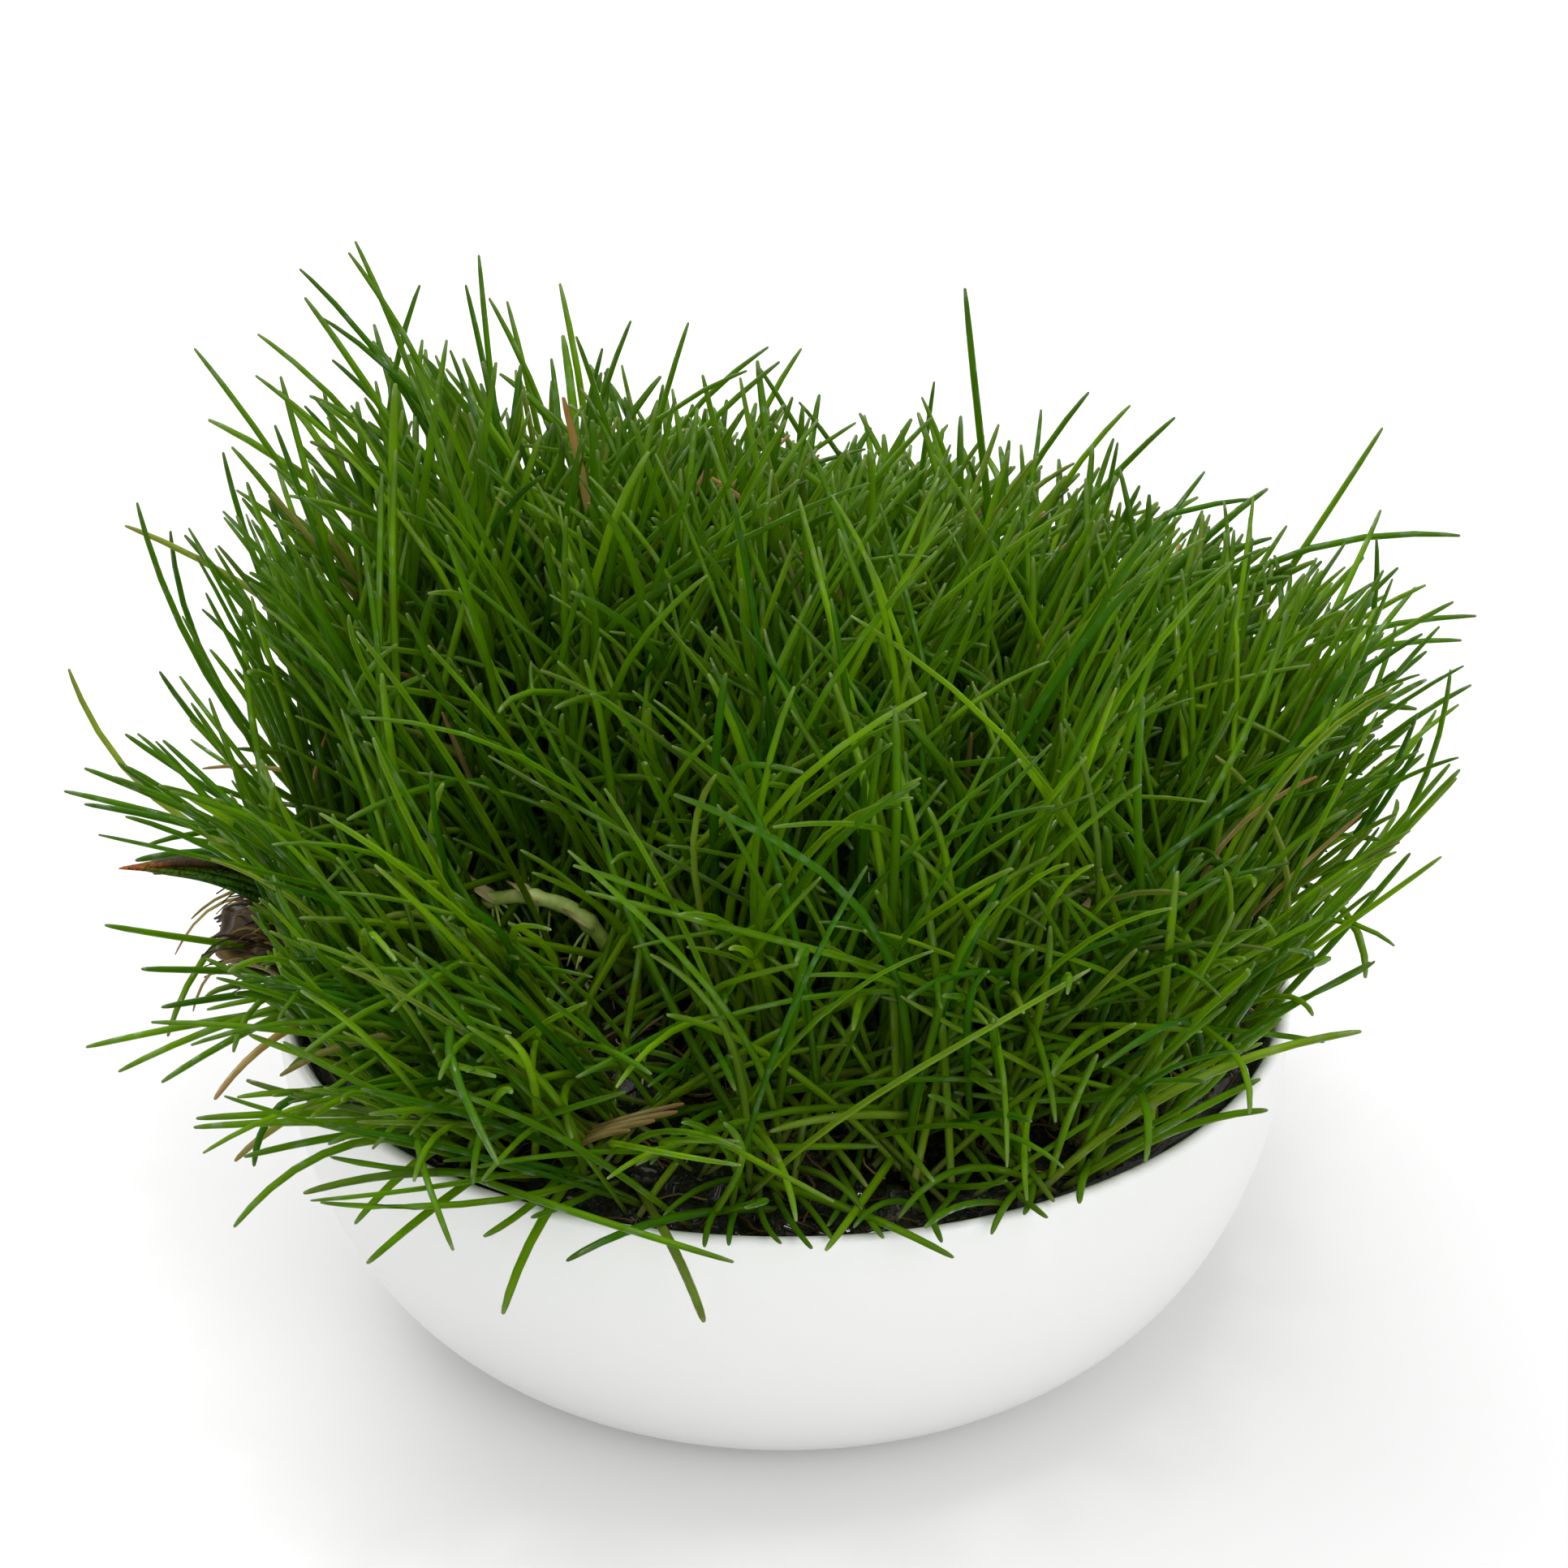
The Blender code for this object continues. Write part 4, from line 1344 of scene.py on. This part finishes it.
# Each row: the pixels, across and down, of a blade's root, way and tip, then how much nearer its tip comes
# and its tone, and where they aren't the usual ones its width and its age.
TRACED = (
    # The left side, from the lowest tip up.
    (520, 1230, 300, 1252, 107, 1290, 4, 0.7), (560, 1215, 330, 1245, 147, 1320, 8, 0.75),
    (540, 1190, 330, 1258, 200, 1333, 8, 0.45), (430, 1080, 325, 1122, 207, 1276, 6, 0.6),
    (430, 1160, 260, 1160, 130, 1140, -4, 0.55), (420, 1185, 270, 1196, 175, 1194, 0, 0.3),
    (440, 1200, 280, 1228, 200, 1241, 2, 0.1), (480, 1130, 200, 985, 105, 947, 2, 0.3),
    (480, 1080, 200, 1004, 80, 975, 0, 0.35), (470, 1090, 215, 1012, 105, 991, 2, 0.1),
    (470, 1070, 230, 955, 155, 905, 0, 0.2), (430, 1080, 200, 980, 146, 940, 0, 0.15),
    (450, 1050, 130, 915, 85, 825, -4, 1, 1, 0.25), (430, 1050, 255, 905, 197, 828, 0, 0.2),
    (440, 1050, 225, 775, 169, 620, -2, 0.3), (410, 1000, 225, 740, 210, 655, -2, 0.1),
    (600, 1020, 330, 740, 155, 648, 2, 0.9, 1.1, 0.3), (590, 1020, 320, 760, 228, 660, 2, 0.35, 1.1),
    (500, 1070, 345, 890, 290, 825, 2, 0.6), (430, 1000, 312, 805, 280, 757, -2, 0.1),
    (430, 990, 300, 650, 275, 558, -4, 0.2),
    # The back, from left to right.
    (480, 960, 330, 550, 240, 430, -4, 0.5), (560, 960, 400, 480, 318, 412, -4, 0.6),
    (600, 960, 440, 405, 370, 332, -2, 0.15), (650, 970, 480, 455, 397, 392, 0, 0.15),
    (560, 960, 455, 485, 410, 444, -2, 0.1), (560, 950, 475, 380, 438, 298, -4, 0.6),
    (570, 950, 490, 400, 430, 312, -3, 0.5), (560, 950, 502, 395, 517, 352, -5, 0.3),
    (625, 945, 592, 430, 574, 352, -2, 0.2), (640, 940, 598, 400, 590, 315, -5, 0.3),
    (720, 940, 650, 460, 603, 368, -3, 0.5), (690, 930, 640, 430, 625, 372, -5, 0.7),
    (700, 930, 705, 420, 690, 350, -6, 0.8), (660, 940, 725, 500, 742, 430, -2, 0.2),
    (690, 950, 745, 480, 777, 396, -2, 0.4), (740, 945, 822, 480, 848, 398, -3, 0.5),
    (720, 940, 860, 500, 946, 428, -2, 0.4), (900, 920, 950, 490, 987, 430, -5, 0.6),
    (1110, 960, 1000, 560, 933, 450, 0, 0.3), (1170, 980, 1060, 600, 985, 496, 2, 0.3),
    (1210, 980, 1090, 622, 1034, 556, 3, 0.15), (1100, 940, 1141, 540, 1151, 471, 0, 0.25),
    (1230, 940, 1165, 560, 1136, 490, 0, 0.75), (1270, 1000, 1206, 520, 1189, 356, 3, 0.3, 1.15),
    (1230, 940, 1205, 600, 1194, 568, 2, 0.2), (1190, 900, 1290, 550, 1341, 484, 0, 0.3, 1.1),
    (1200, 900, 1360, 600, 1447, 515, 2, 0.35, 1.1), (1260, 910, 1330, 570, 1392, 500, -4, 0.8),
    (1310, 930, 1362, 620, 1377, 546, 0, 0.3),
    # The right side, from the top down.
    (1400, 1080, 1411, 740, 1416, 610, 6, 0.1), (1180, 900, 1440, 635, 1544, 615, 2, 0.2),
    (1280, 960, 1490, 690, 1566, 663, 5, 0.2, 1.15), (1480, 960, 1630, 640, 1703, 528, -3, 0.6),
    (1300, 960, 1600, 680, 1798, 660, 6, 0.3, 1.1), (1540, 1050, 1690, 770, 1696, 665, 0, 0.1),
    (1500, 1000, 1660, 760, 1722, 700, -2, 0.2), (1420, 960, 1690, 775, 1818, 759, 2, 0.3),
    (1480, 1010, 1690, 800, 1790, 742, 0, 0.5), (1420, 990, 1690, 798, 1800, 789, 2, 0.4),
    (1520, 1060, 1700, 850, 1757, 803, 0, 0.2), (1550, 1180, 1755, 960, 1787, 826, 4, 0.4),
    (1540, 1160, 1700, 980, 1746, 880, 3, 0.1), (1550, 1150, 1705, 990, 1752, 910, 3, 0.1),
    (1530, 1250, 1680, 1080, 1798, 949, 6, 0.6, 1.1), (1500, 1260, 1660, 1090, 1786, 942, 5, 0.5),
    (1530, 1260, 1670, 1130, 1737, 1052, 4, 0.3), (1300, 1470, 1450, 1342, 1676, 1271, 2, 0.9, 1.1, 0.1),
    (1390, 1440, 1480, 1382, 1561, 1368, 2, 0.6), (1330, 1450, 1470, 1370, 1552, 1330, 2, 0.5),
    (1180, 1110, 1420, 1045, 1592, 1012, 10, 0.9, 1, 0.1),
    (1350, 1160, 1570, 1105, 1690, 1022, 8, 0.8, 1, 0.1),
    # The front's lower edge, from left to right, and the front's left end.
    (600, 1400, 425, 1412, 289, 1511, 10, 0.6), (650, 1430, 480, 1448, 375, 1470, 6, 0.2, 1, 0.1),
    (760, 1350, 560, 1400, 438, 1507, 12, 0.7, 1.1), (640, 1400, 545, 1480, 453, 1556, 12, 0.6),
    (760, 1350, 690, 1450, 597, 1523, 12, 0.6), (800, 1370, 690, 1470, 620, 1618, 14, 0.7, 1.1),
    (960, 1470, 800, 1508, 699, 1553, 10, 0.1), (780, 1440, 833, 1545, 867, 1628, 9, 0.3, 1, 0.2),
    (860, 1430, 1060, 1495, 1174, 1549, 9, 0.6), (1170, 1330, 1090, 1440, 1018, 1540, 10, 0.9),
    (700, 1400, 450, 1383, 240, 1389, 6, 0.7), (660, 1380, 450, 1372, 243, 1378, 6, 0.6),
    (640, 1380, 420, 1400, 302, 1425, 6, 0.4), (430, 1220, 330, 1285, 265, 1354, 8, 0.5, 1, 0.95),
    (520, 1330, 350, 1382, 290, 1430, 6, 0.7, 1, 0.6), (480, 1330, 330, 1380, 313, 1436, 6, 0.1),
    # Curved blades that lie over the others in front.
    (900, 1150, 640, 1030, 430, 1027, 10, 0.95), (900, 1260, 620, 1155, 370, 1131, 10, 0.85),
    (660, 1320, 440, 1283, 346, 1325, 10, 0.7, 1, 0.55), (740, 1340, 560, 1110, 460, 910, 6, 0.8),
    (760, 1360, 560, 1120, 395, 1003, 12, 0.8), (640, 1250, 470, 1110, 410, 1004, 8, 0.45),
    (700, 1240, 530, 900, 440, 779, 8, 0.75), (1000, 1230, 900, 1195, 745, 1268, 14, 0.8),
    (900, 1240, 1000, 1125, 1160, 1145, 10, 0.8, 1, 0.2), (860, 1205, 1010, 1230, 1155, 1312, 14, 0.85),
    (820, 1330, 1000, 1320, 1100, 1290, 12, 0.3), (1250, 1400, 1070, 1373, 950, 1394, 10, 0.95, 1, 0.1),
    (820, 1220, 880, 1340, 960, 1430, 12, 0.7), (980, 1200, 1060, 1330, 1150, 1455, 14, 0.8),
    (880, 1300, 990, 1370, 1068, 1462, 12, 0.9, 1, 0.1),
    # Dry and yellow ones.
    (650, 1160, 575, 950, 545, 878, 6, 0.6, 0.8, 0.85), (600, 1030, 420, 710, 334, 608, 0, 0.7, 1, 0.5),
    (620, 1050, 460, 745, 405, 660, 2, 0.6, 1, 0.5),
    (1462, 1240, 1490, 1065, 1622, 957, 4, 0.9, 0.75, 0.95),
    (1460, 1210, 1580, 1090, 1677, 1003, 6, 0.9, 0.65, 0.95),
    (520, 1060, 400, 965, 250, 947, 0, 0.9, 0.7, 0.85), (450, 1130, 395, 1060, 402, 905, 2, 0.8, 0.7, 0.8),
    (1190, 1180, 1188, 1020, 1197, 903, 6, 0.4, 0.75, 0.8),
    # Ones that stand out within the mass.
    (830, 1120, 920, 870, 1002, 824, 6, 0.8), (790, 1100, 845, 850, 881, 740, 2, 0.6),
    (1110, 1040, 1220, 800, 1345, 725, 4, 0.75), (1270, 1160, 1272, 830, 1273, 688, 4, 0.7),
    (960, 1050, 1080, 800, 1176, 694, 4, 0.7), (1350, 1180, 1430, 860, 1503, 722, 4, 0.7),
    (1400, 1170, 1450, 870, 1513, 740, 4, 0.6), (1240, 1030, 1370, 838, 1489, 855, 4, 0.8),
    (1300, 1060, 1470, 905, 1578, 921, 4, 0.7), (1400, 1060, 1520, 870, 1582, 890, 4, 0.5),
    (1570, 1240, 1560, 1000, 1498, 932, 0, 0.8, 1, 0.2), (700, 1030, 630, 780, 662, 660, 4, 0.4),
    (900, 1000, 700, 785, 533, 769, 6, 0.7), (420, 1000, 590, 835, 673, 781, 2, 0.8),
    (1420, 1390, 1440, 1170, 1450, 1075, 6, 0.9), (1200, 1400, 1280, 1250, 1294, 1142, 6, 0.7),
    (1190, 1380, 1260, 1310, 1400, 1170, 6, 0.9, 1, 0.1), (1330, 1400, 1430, 1280, 1520, 1125, 6, 0.7),
    # The split husk in front and the straw beside it.
    (690, 1398, 770, 1378, 842, 1360, 5, 0.9, 0.75, 0.95),
    (690, 1402, 765, 1385, 834, 1370, 5.2, 0.9, 0.85, 0.95),
    (690, 1407, 758, 1391, 806, 1381, 5, 0.9, 0.85, 0.9),
    (694, 1412, 742, 1399, 776, 1393, 4.8, 0.9, 0.8, 0.95),
    (845, 1362, 862, 1350, 886, 1342, 6, 0.9, 0.45, 0.98),
    # Short ones, most of them at the front lip.
    (850, 1185, 748, 1212, 815, 1264, 5, 0.6), (935, 1438, 888, 1480, 868, 1536, 8, 0.25, 0.75),
    (942, 1440, 908, 1488, 898, 1534, 8, 0.15, 0.7), (938, 1442, 938, 1495, 962, 1532, 8, 0.3, 0.7),
    (944, 1438, 965, 1490, 1000, 1538, 9, 0.2, 0.75), (948, 1436, 988, 1478, 1026, 1528, 9, 0.4, 0.75),
    (930, 1442, 868, 1462, 818, 1498, 8, 0.3, 0.75),
    (952, 1432, 1010, 1446, 1062, 1490, 9, 0.35, 0.8, 0.05),
    (1140, 1372, 1180, 1405, 1222, 1458, 9, 0.6, 0.95),
    (1150, 1368, 1222, 1400, 1298, 1480, 9, 0.5, 0.95, 0.1),
    (1300, 1440, 1170, 1445, 1108, 1500, 9, 0.45, 0.9), (1260, 1470, 1200, 1482, 1140, 1512, 6, 0.3, 0.8),
    (1330, 1430, 1352, 1380, 1400, 1325, 6, 0.5, 0.9), (1300, 1450, 1312, 1390, 1352, 1300, 6, 0.55, 0.9),
    (760, 1440, 720, 1475, 655, 1500, 7, 0.3, 0.8), (1215, 1400, 1190, 1450, 1150, 1500, 7, 0.3, 0.8),
    (1250, 1390, 1272, 1440, 1262, 1496, 7, 0.45, 0.85), (1335, 1420, 1285, 1448, 1222, 1520, 7, 0.5, 0.9),
    (1180, 1390, 1232, 1450, 1290, 1500, 7, 0.35, 0.85, 0.05),
    (1090, 1400, 1122, 1450, 1160, 1530, 8, 0.4, 0.85), (1065, 1390, 1052, 1450, 1020, 1510, 7, 0.3, 0.8),
    (1380, 1380, 1345, 1430, 1330, 1482, 6, 0.5, 0.9), (1010, 1400, 1042, 1458, 1088, 1525, 8, 0.5, 0.85),
    (1120, 1440, 1180, 1462, 1240, 1455, 7, 0.4, 0.8), (1150, 1470, 1100, 1480, 1052, 1512, 6, 0.25, 0.75),
    (745, 1290, 790, 1250, 885, 1196, 6, 0.75),
    # Thin dry strands and two stout blades at the left.
    (345, 1120, 262, 1118, 216, 1176, 0, 0.2, 0.5, 0.8),
    (350, 1130, 290, 1098, 236, 1132, 2, 0.2, 0.5, 0.7),
    (350, 1190, 262, 1196, 238, 1246, 0, 0.1, 0.45, 0.8), (430, 1070, 270, 1050, 168, 1060, 0, 0.05, 1.25),
    (440, 1085, 300, 1068, 190, 1076, 1, 0, 1.2),
)  # fmt: skip


@dataclass
class TracedBlades:
    """The blades that were read off the photograph."""

    growth: Growth
    step_mm: float = 1.5
    tries: int = 20
    stouter: float = 1.12
    flatness: float = 0.8
    darker: float = 0.82

    def clear_path(self, blade: Traced) -> np.ndarray:
        """Draw one blade, brought nearer to the camera until it is clear of the bowl and the mat.

        Args:
            blade: where the photograph shows it.

        Returns:
            Its centre line.
        """
        growth = self.growth
        for more in range(self.tries):
            path = blade.path(growth.view, growth.filling, blade.nearer + more * self.step_mm)
            if not growth.too_low(path[None])[0]:
                return path
        LOG.warning("no clear way for the blade with its tip at %s", blade.tip)
        return path

    def grow(self) -> Strands:
        """Draw them all.

        Returns:
            The blades.
        """
        blades = [Traced(row[0:2], row[2:4], row[4:6], *row[6:]) for row in TRACED]
        paths = np.stack([self.clear_path(blade) for blade in blades])
        chord = unit(paths[:, -1] - paths[:, 0])
        side = unit(np.cross(chord, [0.0, 0.0, 1.0]) + [0.0, 0.0, 1e-6])
        age, tone, width = np.array([(blade.age, blade.tone, blade.width) for blade in blades]).T
        radius = BladeShape().half_width * self.stouter * width
        return Strands(paths, side, radius, self.flatness, tone * self.darker, age)


@dataclass
class Meadow:
    """All plantlets, each a piece of its own."""

    growth: Growth
    seed: int = 7
    # A traced blade stays in plain view where its tip is well inside the outline, or where it is dry.
    well_inside: float = 0.97
    dry_from: float = 0.9
    # The stations of a traced blade before this one may be hidden.
    hidden_foot: int = 4

    def build(self, kept_plain: np.ndarray) -> None:
        """Make each plantlet's blades in place of the frame's tuft.

        Args:
            kept_plain: points that the blades leave in plain view.
        """
        leaf = GrassLeaf().build()
        taper = BladeShape().taper()
        growth = self.growth
        traced = TracedBlades(growth).grow()
        tips = growth.view.seen_at(traced.paths[:, -2:])
        inside = growth.outline.holds(tips, np.full(len(tips), self.well_inside)).all(axis=1)
        outer = traced.paths[inside | (traced.age > self.dry_from)][:, self.hidden_foot :].reshape(-1, 3)
        grown = growth.grow(np.random.default_rng(self.seed), np.concatenate([outer, kept_plain]))
        blades = grown.joined(traced)
        owners = growth.nearest_crown(blades.paths[:, 0])
        for number in range(growth.tufts):
            node = f"tuft_{number + 1:02d}"
            own = blades.part(owners == number).shell(taper)
            dress(mesh_object(f"{node}_blades", [own], [leaf]), node)
        LOG.info("meadow: %d blades in %d plantlets", len(owners), growth.tufts)


# Stolons and the old sheath


def centre_line(node: bpy.types.Object, count: int) -> np.ndarray:
    """Find the smooth middle line of a long thin node of the frame, from its root outwards.

    Args:
        node: the frame's object.
        count: the number of points.

    Returns:
        (count, 3) points, the first one nearest the mat.
    """
    places = np.array([vertex.co[:] for vertex in node.data.vertices])
    middle = places.mean(axis=0)
    lengthwise = np.linalg.svd(places - middle)[2][0]
    share = (places - middle) @ lengthwise
    steps = np.linspace(share.min(), share.max(), count)
    line = np.stack([np.polyval(np.polyfit(share, places[:, axis], 3), steps) for axis in range(3)], axis=1)
    return line if line[0, 2] < line[-1, 2] else line[::-1]


@dataclass
class Stolon:
    """A pale runner of the grass: jointed, with dry scales at its joints and short roots below them."""

    node: bpy.types.Object
    view: View
    radius: float = 0.00082
    arch: float = 0.0002
    raised: float = 0.0055
    joints: tuple[float, ...] = (0.30, 0.68, 0.97)
    rings: int = 44
    wobble_mm: float = 0.09
    # The scales of a joint: how far each leans to the side, its half width, and its shape from foot to tip.
    scale_turns: tuple[float, ...] = (-1.0, 0.6)
    scale_mm: float = 0.75
    scale_profile: tuple[float, ...] = (0.9, 1.0, 1.0, 0.95, 0.8, 0.6, 0.35, 0.1)
    rootlets: int = 5
    rootlet_mm: float = 0.16

    def line(self) -> np.ndarray:
        """The way of the runner, arched, with its far end raised towards the camera."""
        line = centre_line(self.node, self.rings)
        share = np.linspace(0.0, 1.0, self.rings)[:, None]
        towards = unit(self.view.place() - line[-1])
        return line + [0.0, 0.0, self.arch] * np.sin(share * math.pi) + towards * self.raised * share**0.7

    def profile(self, share: np.ndarray) -> np.ndarray:
        """The thickness, swollen at each joint and pinched before it."""
        swell = sum(
            0.2 * np.exp(-(((share - joint) / 0.03) ** 2))
            - 0.07 * np.exp(-(((share - joint + 0.08) / 0.04) ** 2))
            for joint in self.joints
        )
        return 0.94 - 0.16 * share + swell

    def build(self, finishes: list[Material], rng: np.random.Generator) -> None:
        """Make the runner in place of the frame's.

        Args:
            finishes: the stolon's skin and the dry scales'.
            rng: the seeded source of its small bends.
        """
        line = self.line()
        share = np.linspace(0.0, 1.0, self.rings)
        chord = unit(line[-1] - line[0])
        side = unit(np.cross(chord, [0.0, 0.0, 1.0]))
        for waves in (2.0, 5.0):
            bend = self.wobble_mm * MM * np.sin(share * math.pi * waves + rng.uniform(0.0, 6.0))
            line += side * bend[:, None]
        shells = [Strands(line[None], side, self.radius).shell(self.profile(share), 14)]
        steps = np.linspace(0.0, 1.0, len(self.scale_profile))[:, None]
        scales, roots = [], []
        for joint in self.joints:
            start = line[int(joint * (self.rings - 1))]
            for turn in self.scale_turns:
                lift = unit(np.array([0.0, 0.0, 0.8]) + side * turn + chord * 0.9)
                out = chord * steps * 2.6 * MM + lift * (0.55 + 0.9 * steps**2) * MM
                scales.append(start - chord * 0.8 * MM + out)
            for _ in range(self.rootlets):
                down = unit(np.array([*rng.normal(0.0, 0.7, 2), -1.4]))
                bend = rng.normal(0.0, 0.5 * MM, 3) * np.sin(steps * math.pi)
                roots.append(start + down * steps * rng.uniform(3.2, 5.2) * MM + bend)
        thinning = np.linspace(1.0, 0.5, len(steps))
        for ways, half_mm, flatness, profile, finish in (
            (scales, self.scale_mm, 0.16, np.array(self.scale_profile), 1),
            (roots, self.rootlet_mm, 1.0, thinning, 0),
        ):
            tone = rng.uniform(0.3, 1.0, len(ways))
            shells.append(Strands(np.stack(ways), side, half_mm * MM, flatness, tone).shell(profile, 8))
            shells[-1].finish = finish
        dress(mesh_object(f"{self.node.name}_stolon", shells, finishes), self.node.name)


@dataclass
class OldSheath:
    """The dead leaf base at the left: dark strips that part at their reddish tip."""

    node: bpy.types.Object
    arch: float = 0.0027
    rings: int = 22
    flatness: float = 0.32
    # Each strip: its offset sideways and upwards and its half width in mm, its share of the length, and
    # how far its tip strays sideways and upwards in mm.
    strips: tuple = (
        (0.0, 0.2, 1.15, 0.93, 0.0, 0.0), (-0.5, 1.1, 1.05, 0.93, -0.1, -0.4),
        (0.5, 1.0, 1.05, 0.92, 0.2, -0.3), (-0.1, 2.0, 1.05, 0.91, 0.1, -0.8),
        (0.4, 2.8, 0.95, 0.89, 0.2, -1.1), (-0.4, 3.4, 0.8, 0.84, -0.2, -1.2),
        (0.1, -0.5, 0.95, 0.88, 0.2, 0.3),
    )  # fmt: skip
    # The offset upwards, in mm, from which a strip is wholly brown.
    brown_mm: float = 3.4

    def line(self) -> np.ndarray:
        """The way of the sheath, arched over the rim."""
        line = centre_line(self.node, self.rings)
        line[:, 2] += self.arch * np.sin(np.linspace(0.0, 1.0, self.rings) ** 0.8 * math.pi * 0.86)
        return line

    def build(self, rng: np.random.Generator) -> None:
        """Make the sheath in place of the frame's.

        Args:
            rng: the seeded source of its small bends.
        """
        line = self.line()
        chord = unit(line[-1] - line[0])
        side = unit(np.cross(chord, [0.0, 0.0, 1.0]))
        over = np.cross(side, chord)
        share = np.linspace(0.0, 1.0, self.rings)
        ways = []
        for across, above, _, reach, spread, rise in self.strips:
            base = np.stack([np.interp(share * reach, share, line[:, axis]) for axis in range(3)], axis=1)
            sway, heave = (
                size * np.sin(share * waves + rng.uniform(0, 6)) for size, waves in ((0.12, 9.0), (0.08, 7.0))
            )
            sideways = across * (1.0 - 0.75 * share) + spread * share**3 + sway
            upwards = above * (1.0 - 0.6 * share) + rise * share**3 + heave
            ways.append(base + side * (sideways * MM)[:, None] + over * (upwards * MM)[:, None])
        half_width = np.array([strip[2] * MM for strip in self.strips])
        brown = np.array([max(0.0, strip[1] / self.brown_mm) ** 1.5 for strip in self.strips])
        profile = np.interp(share, [0.0, 0.5, 0.8, 0.92, 1.0], [0.95, 1.0, 0.85, 0.5, 0.12])
        strips = Strands(np.stack(ways), side, half_width, self.flatness, brown).shell(profile, 10)
        dress(mesh_object("old_leaf_sheath", [strips], [DriedSheath().build()]), "old_sheath")


# Studio


@dataclass
class Studio:
    """A white floor and soft light from above."""

    floor_size: float = 4.0
    floor: str = "dedede"
    floor_lift: float = 0.13
    ambient: float = 0.70
    aim: tuple[float, float, float] = (0.0, 0.0, 0.05)
    # Each square softbox: its name, its place, its side and its power in watts.
    lamps: tuple = (
        ("overhead_softbox", (-0.12, 0.05, 0.62), 0.5, 1.5),
        ("small_key", (0.10, -0.12, 0.60), 0.08, 0.65),
        ("front_fill", (0.35, -0.65, 0.40), 0.5, 1.8),
        ("back_light", (-0.25, 0.55, 0.35), 0.4, 1.8),
    )

    def seen(self, tree: Tree, plain: float, lift: Socket | float) -> Socket:
        """Make a strength that is higher for what is seen, mirrored or looked through.

        Args:
            tree: the node tree.
            plain: the strength for light that falls on the object.
            lift: what is added for the eye.

        Returns:
            The strength.
        """
        path = add_node(tree, "LightPath").outputs
        either = path["Is Camera Ray"]
        for ray in ("Is Glossy Ray", "Is Transmission Ray"):
            either = add_node(tree, "Math", {"operation": "MAXIMUM"}, {0: either, 1: path[ray]}).outputs[0]
        settings, links = {"operation": "MULTIPLY_ADD", 2: plain}, {0: either}
        (settings if isinstance(lift, float) else links)[1] = lift
        return add_node(tree, "Math", settings, links).outputs[0]

    def build_lamps(self) -> None:
        """Hang the softboxes."""
        for name, place, size, power in self.lamps:
            data = bpy.data.lights.new(name, "AREA")
            data.size = size
            data.energy = power
            lamp = bpy.data.objects.new(name, data)
            lamp.location = place
            lamp.rotation_euler = (Vector(self.aim) - Vector(place)).to_track_quat("-Z", "Y").to_euler()
            bpy.context.scene.collection.objects.link(lamp)

    def build_floor(self) -> None:
        """Make the floor, which shows white to the camera and keeps the shadow."""
        settings = {"Roughness": 0.9, "IOR": 1.3, "Emission Color": (1.0, 1.0, 1.0, 1.0)}
        material, shader, tree = new_principled("white_paper_floor", self.floor, settings)
        # Away from the lamps the floor would go grey, so to the eye it fades to white.
        place = add_node(tree, "TexCoord").outputs["Object"]
        away = add_node(tree, "VectorMath", {"operation": "LENGTH"}, {0: place}).outputs["Value"]
        lift = add_node(tree, "MapRange", {1: 0.25, 2: 0.65, 3: self.floor_lift, 4: 0.6}, {0: away})
        tree.links.new(self.seen(tree, 0.0, lift.outputs[0]), shader.inputs["Emission Strength"])
        half = self.floor_size / 2.0
        points = np.array([[-half, -half, 0.0], [half, -half, 0.0], [half, half, 0.0], [-half, half, 0.0]])
        mesh_object("paper_floor", [Shell(points, [np.array([[0, 1, 2, 3]])])], [material])

    def build(self) -> None:
        """Light the scene."""
        scene = bpy.context.scene
        scene.view_settings.view_transform = "Standard"
        world = bpy.data.worlds.new("white_studio")
        world.use_nodes = True
        tree = world.node_tree
        background = tree.nodes["Background"]
        background.inputs["Color"].default_value = (1.0, 1.0, 1.0, 1.0)
        tree.links.new(self.seen(tree, self.ambient, 1.0 - self.ambient), background.inputs["Strength"])
        scene.world = world
        self.build_floor()
        self.build_lamps()


def main() -> None:
    """Build the bowl, its filling and the grass, and light them."""
    logging.basicConfig(level=logging.INFO, format="%(name)s: %(message)s")
    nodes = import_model()["nodes"]
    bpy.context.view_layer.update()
    bowl = Bowl()
    filling = Filling(bowl)
    bowl.build()
    filling.build_gel(np.random.default_rng(5))
    filling.build_mat(np.random.default_rng(3))
    view = View()
    sheath = OldSheath(nodes["old_sheath"])
    stolons = [Stolon(nodes[name], view) for name in ("runner_front", "runner_right", "runner_back")]
    # Blades leave the front stolon and the sheath in plain view, apart from their feet.
    plain = np.concatenate([stolons[0].line()[8:], sheath.line()[8:]])
    plain = np.concatenate([plain, plain + [0.0, 0.0, 0.9 * MM], filling.clump_front()])
    Meadow(Growth(filling, view, Outline())).build(plain)
    skins = [PaleStolon().build(), PaperyScale().build()]
    for seed, stolon in enumerate(stolons):
        stolon.build(skins, np.random.default_rng(seed))
    sheath.build(np.random.default_rng(2))
    Studio().build()
    view.build()


if __name__ == "__main__":
    main()
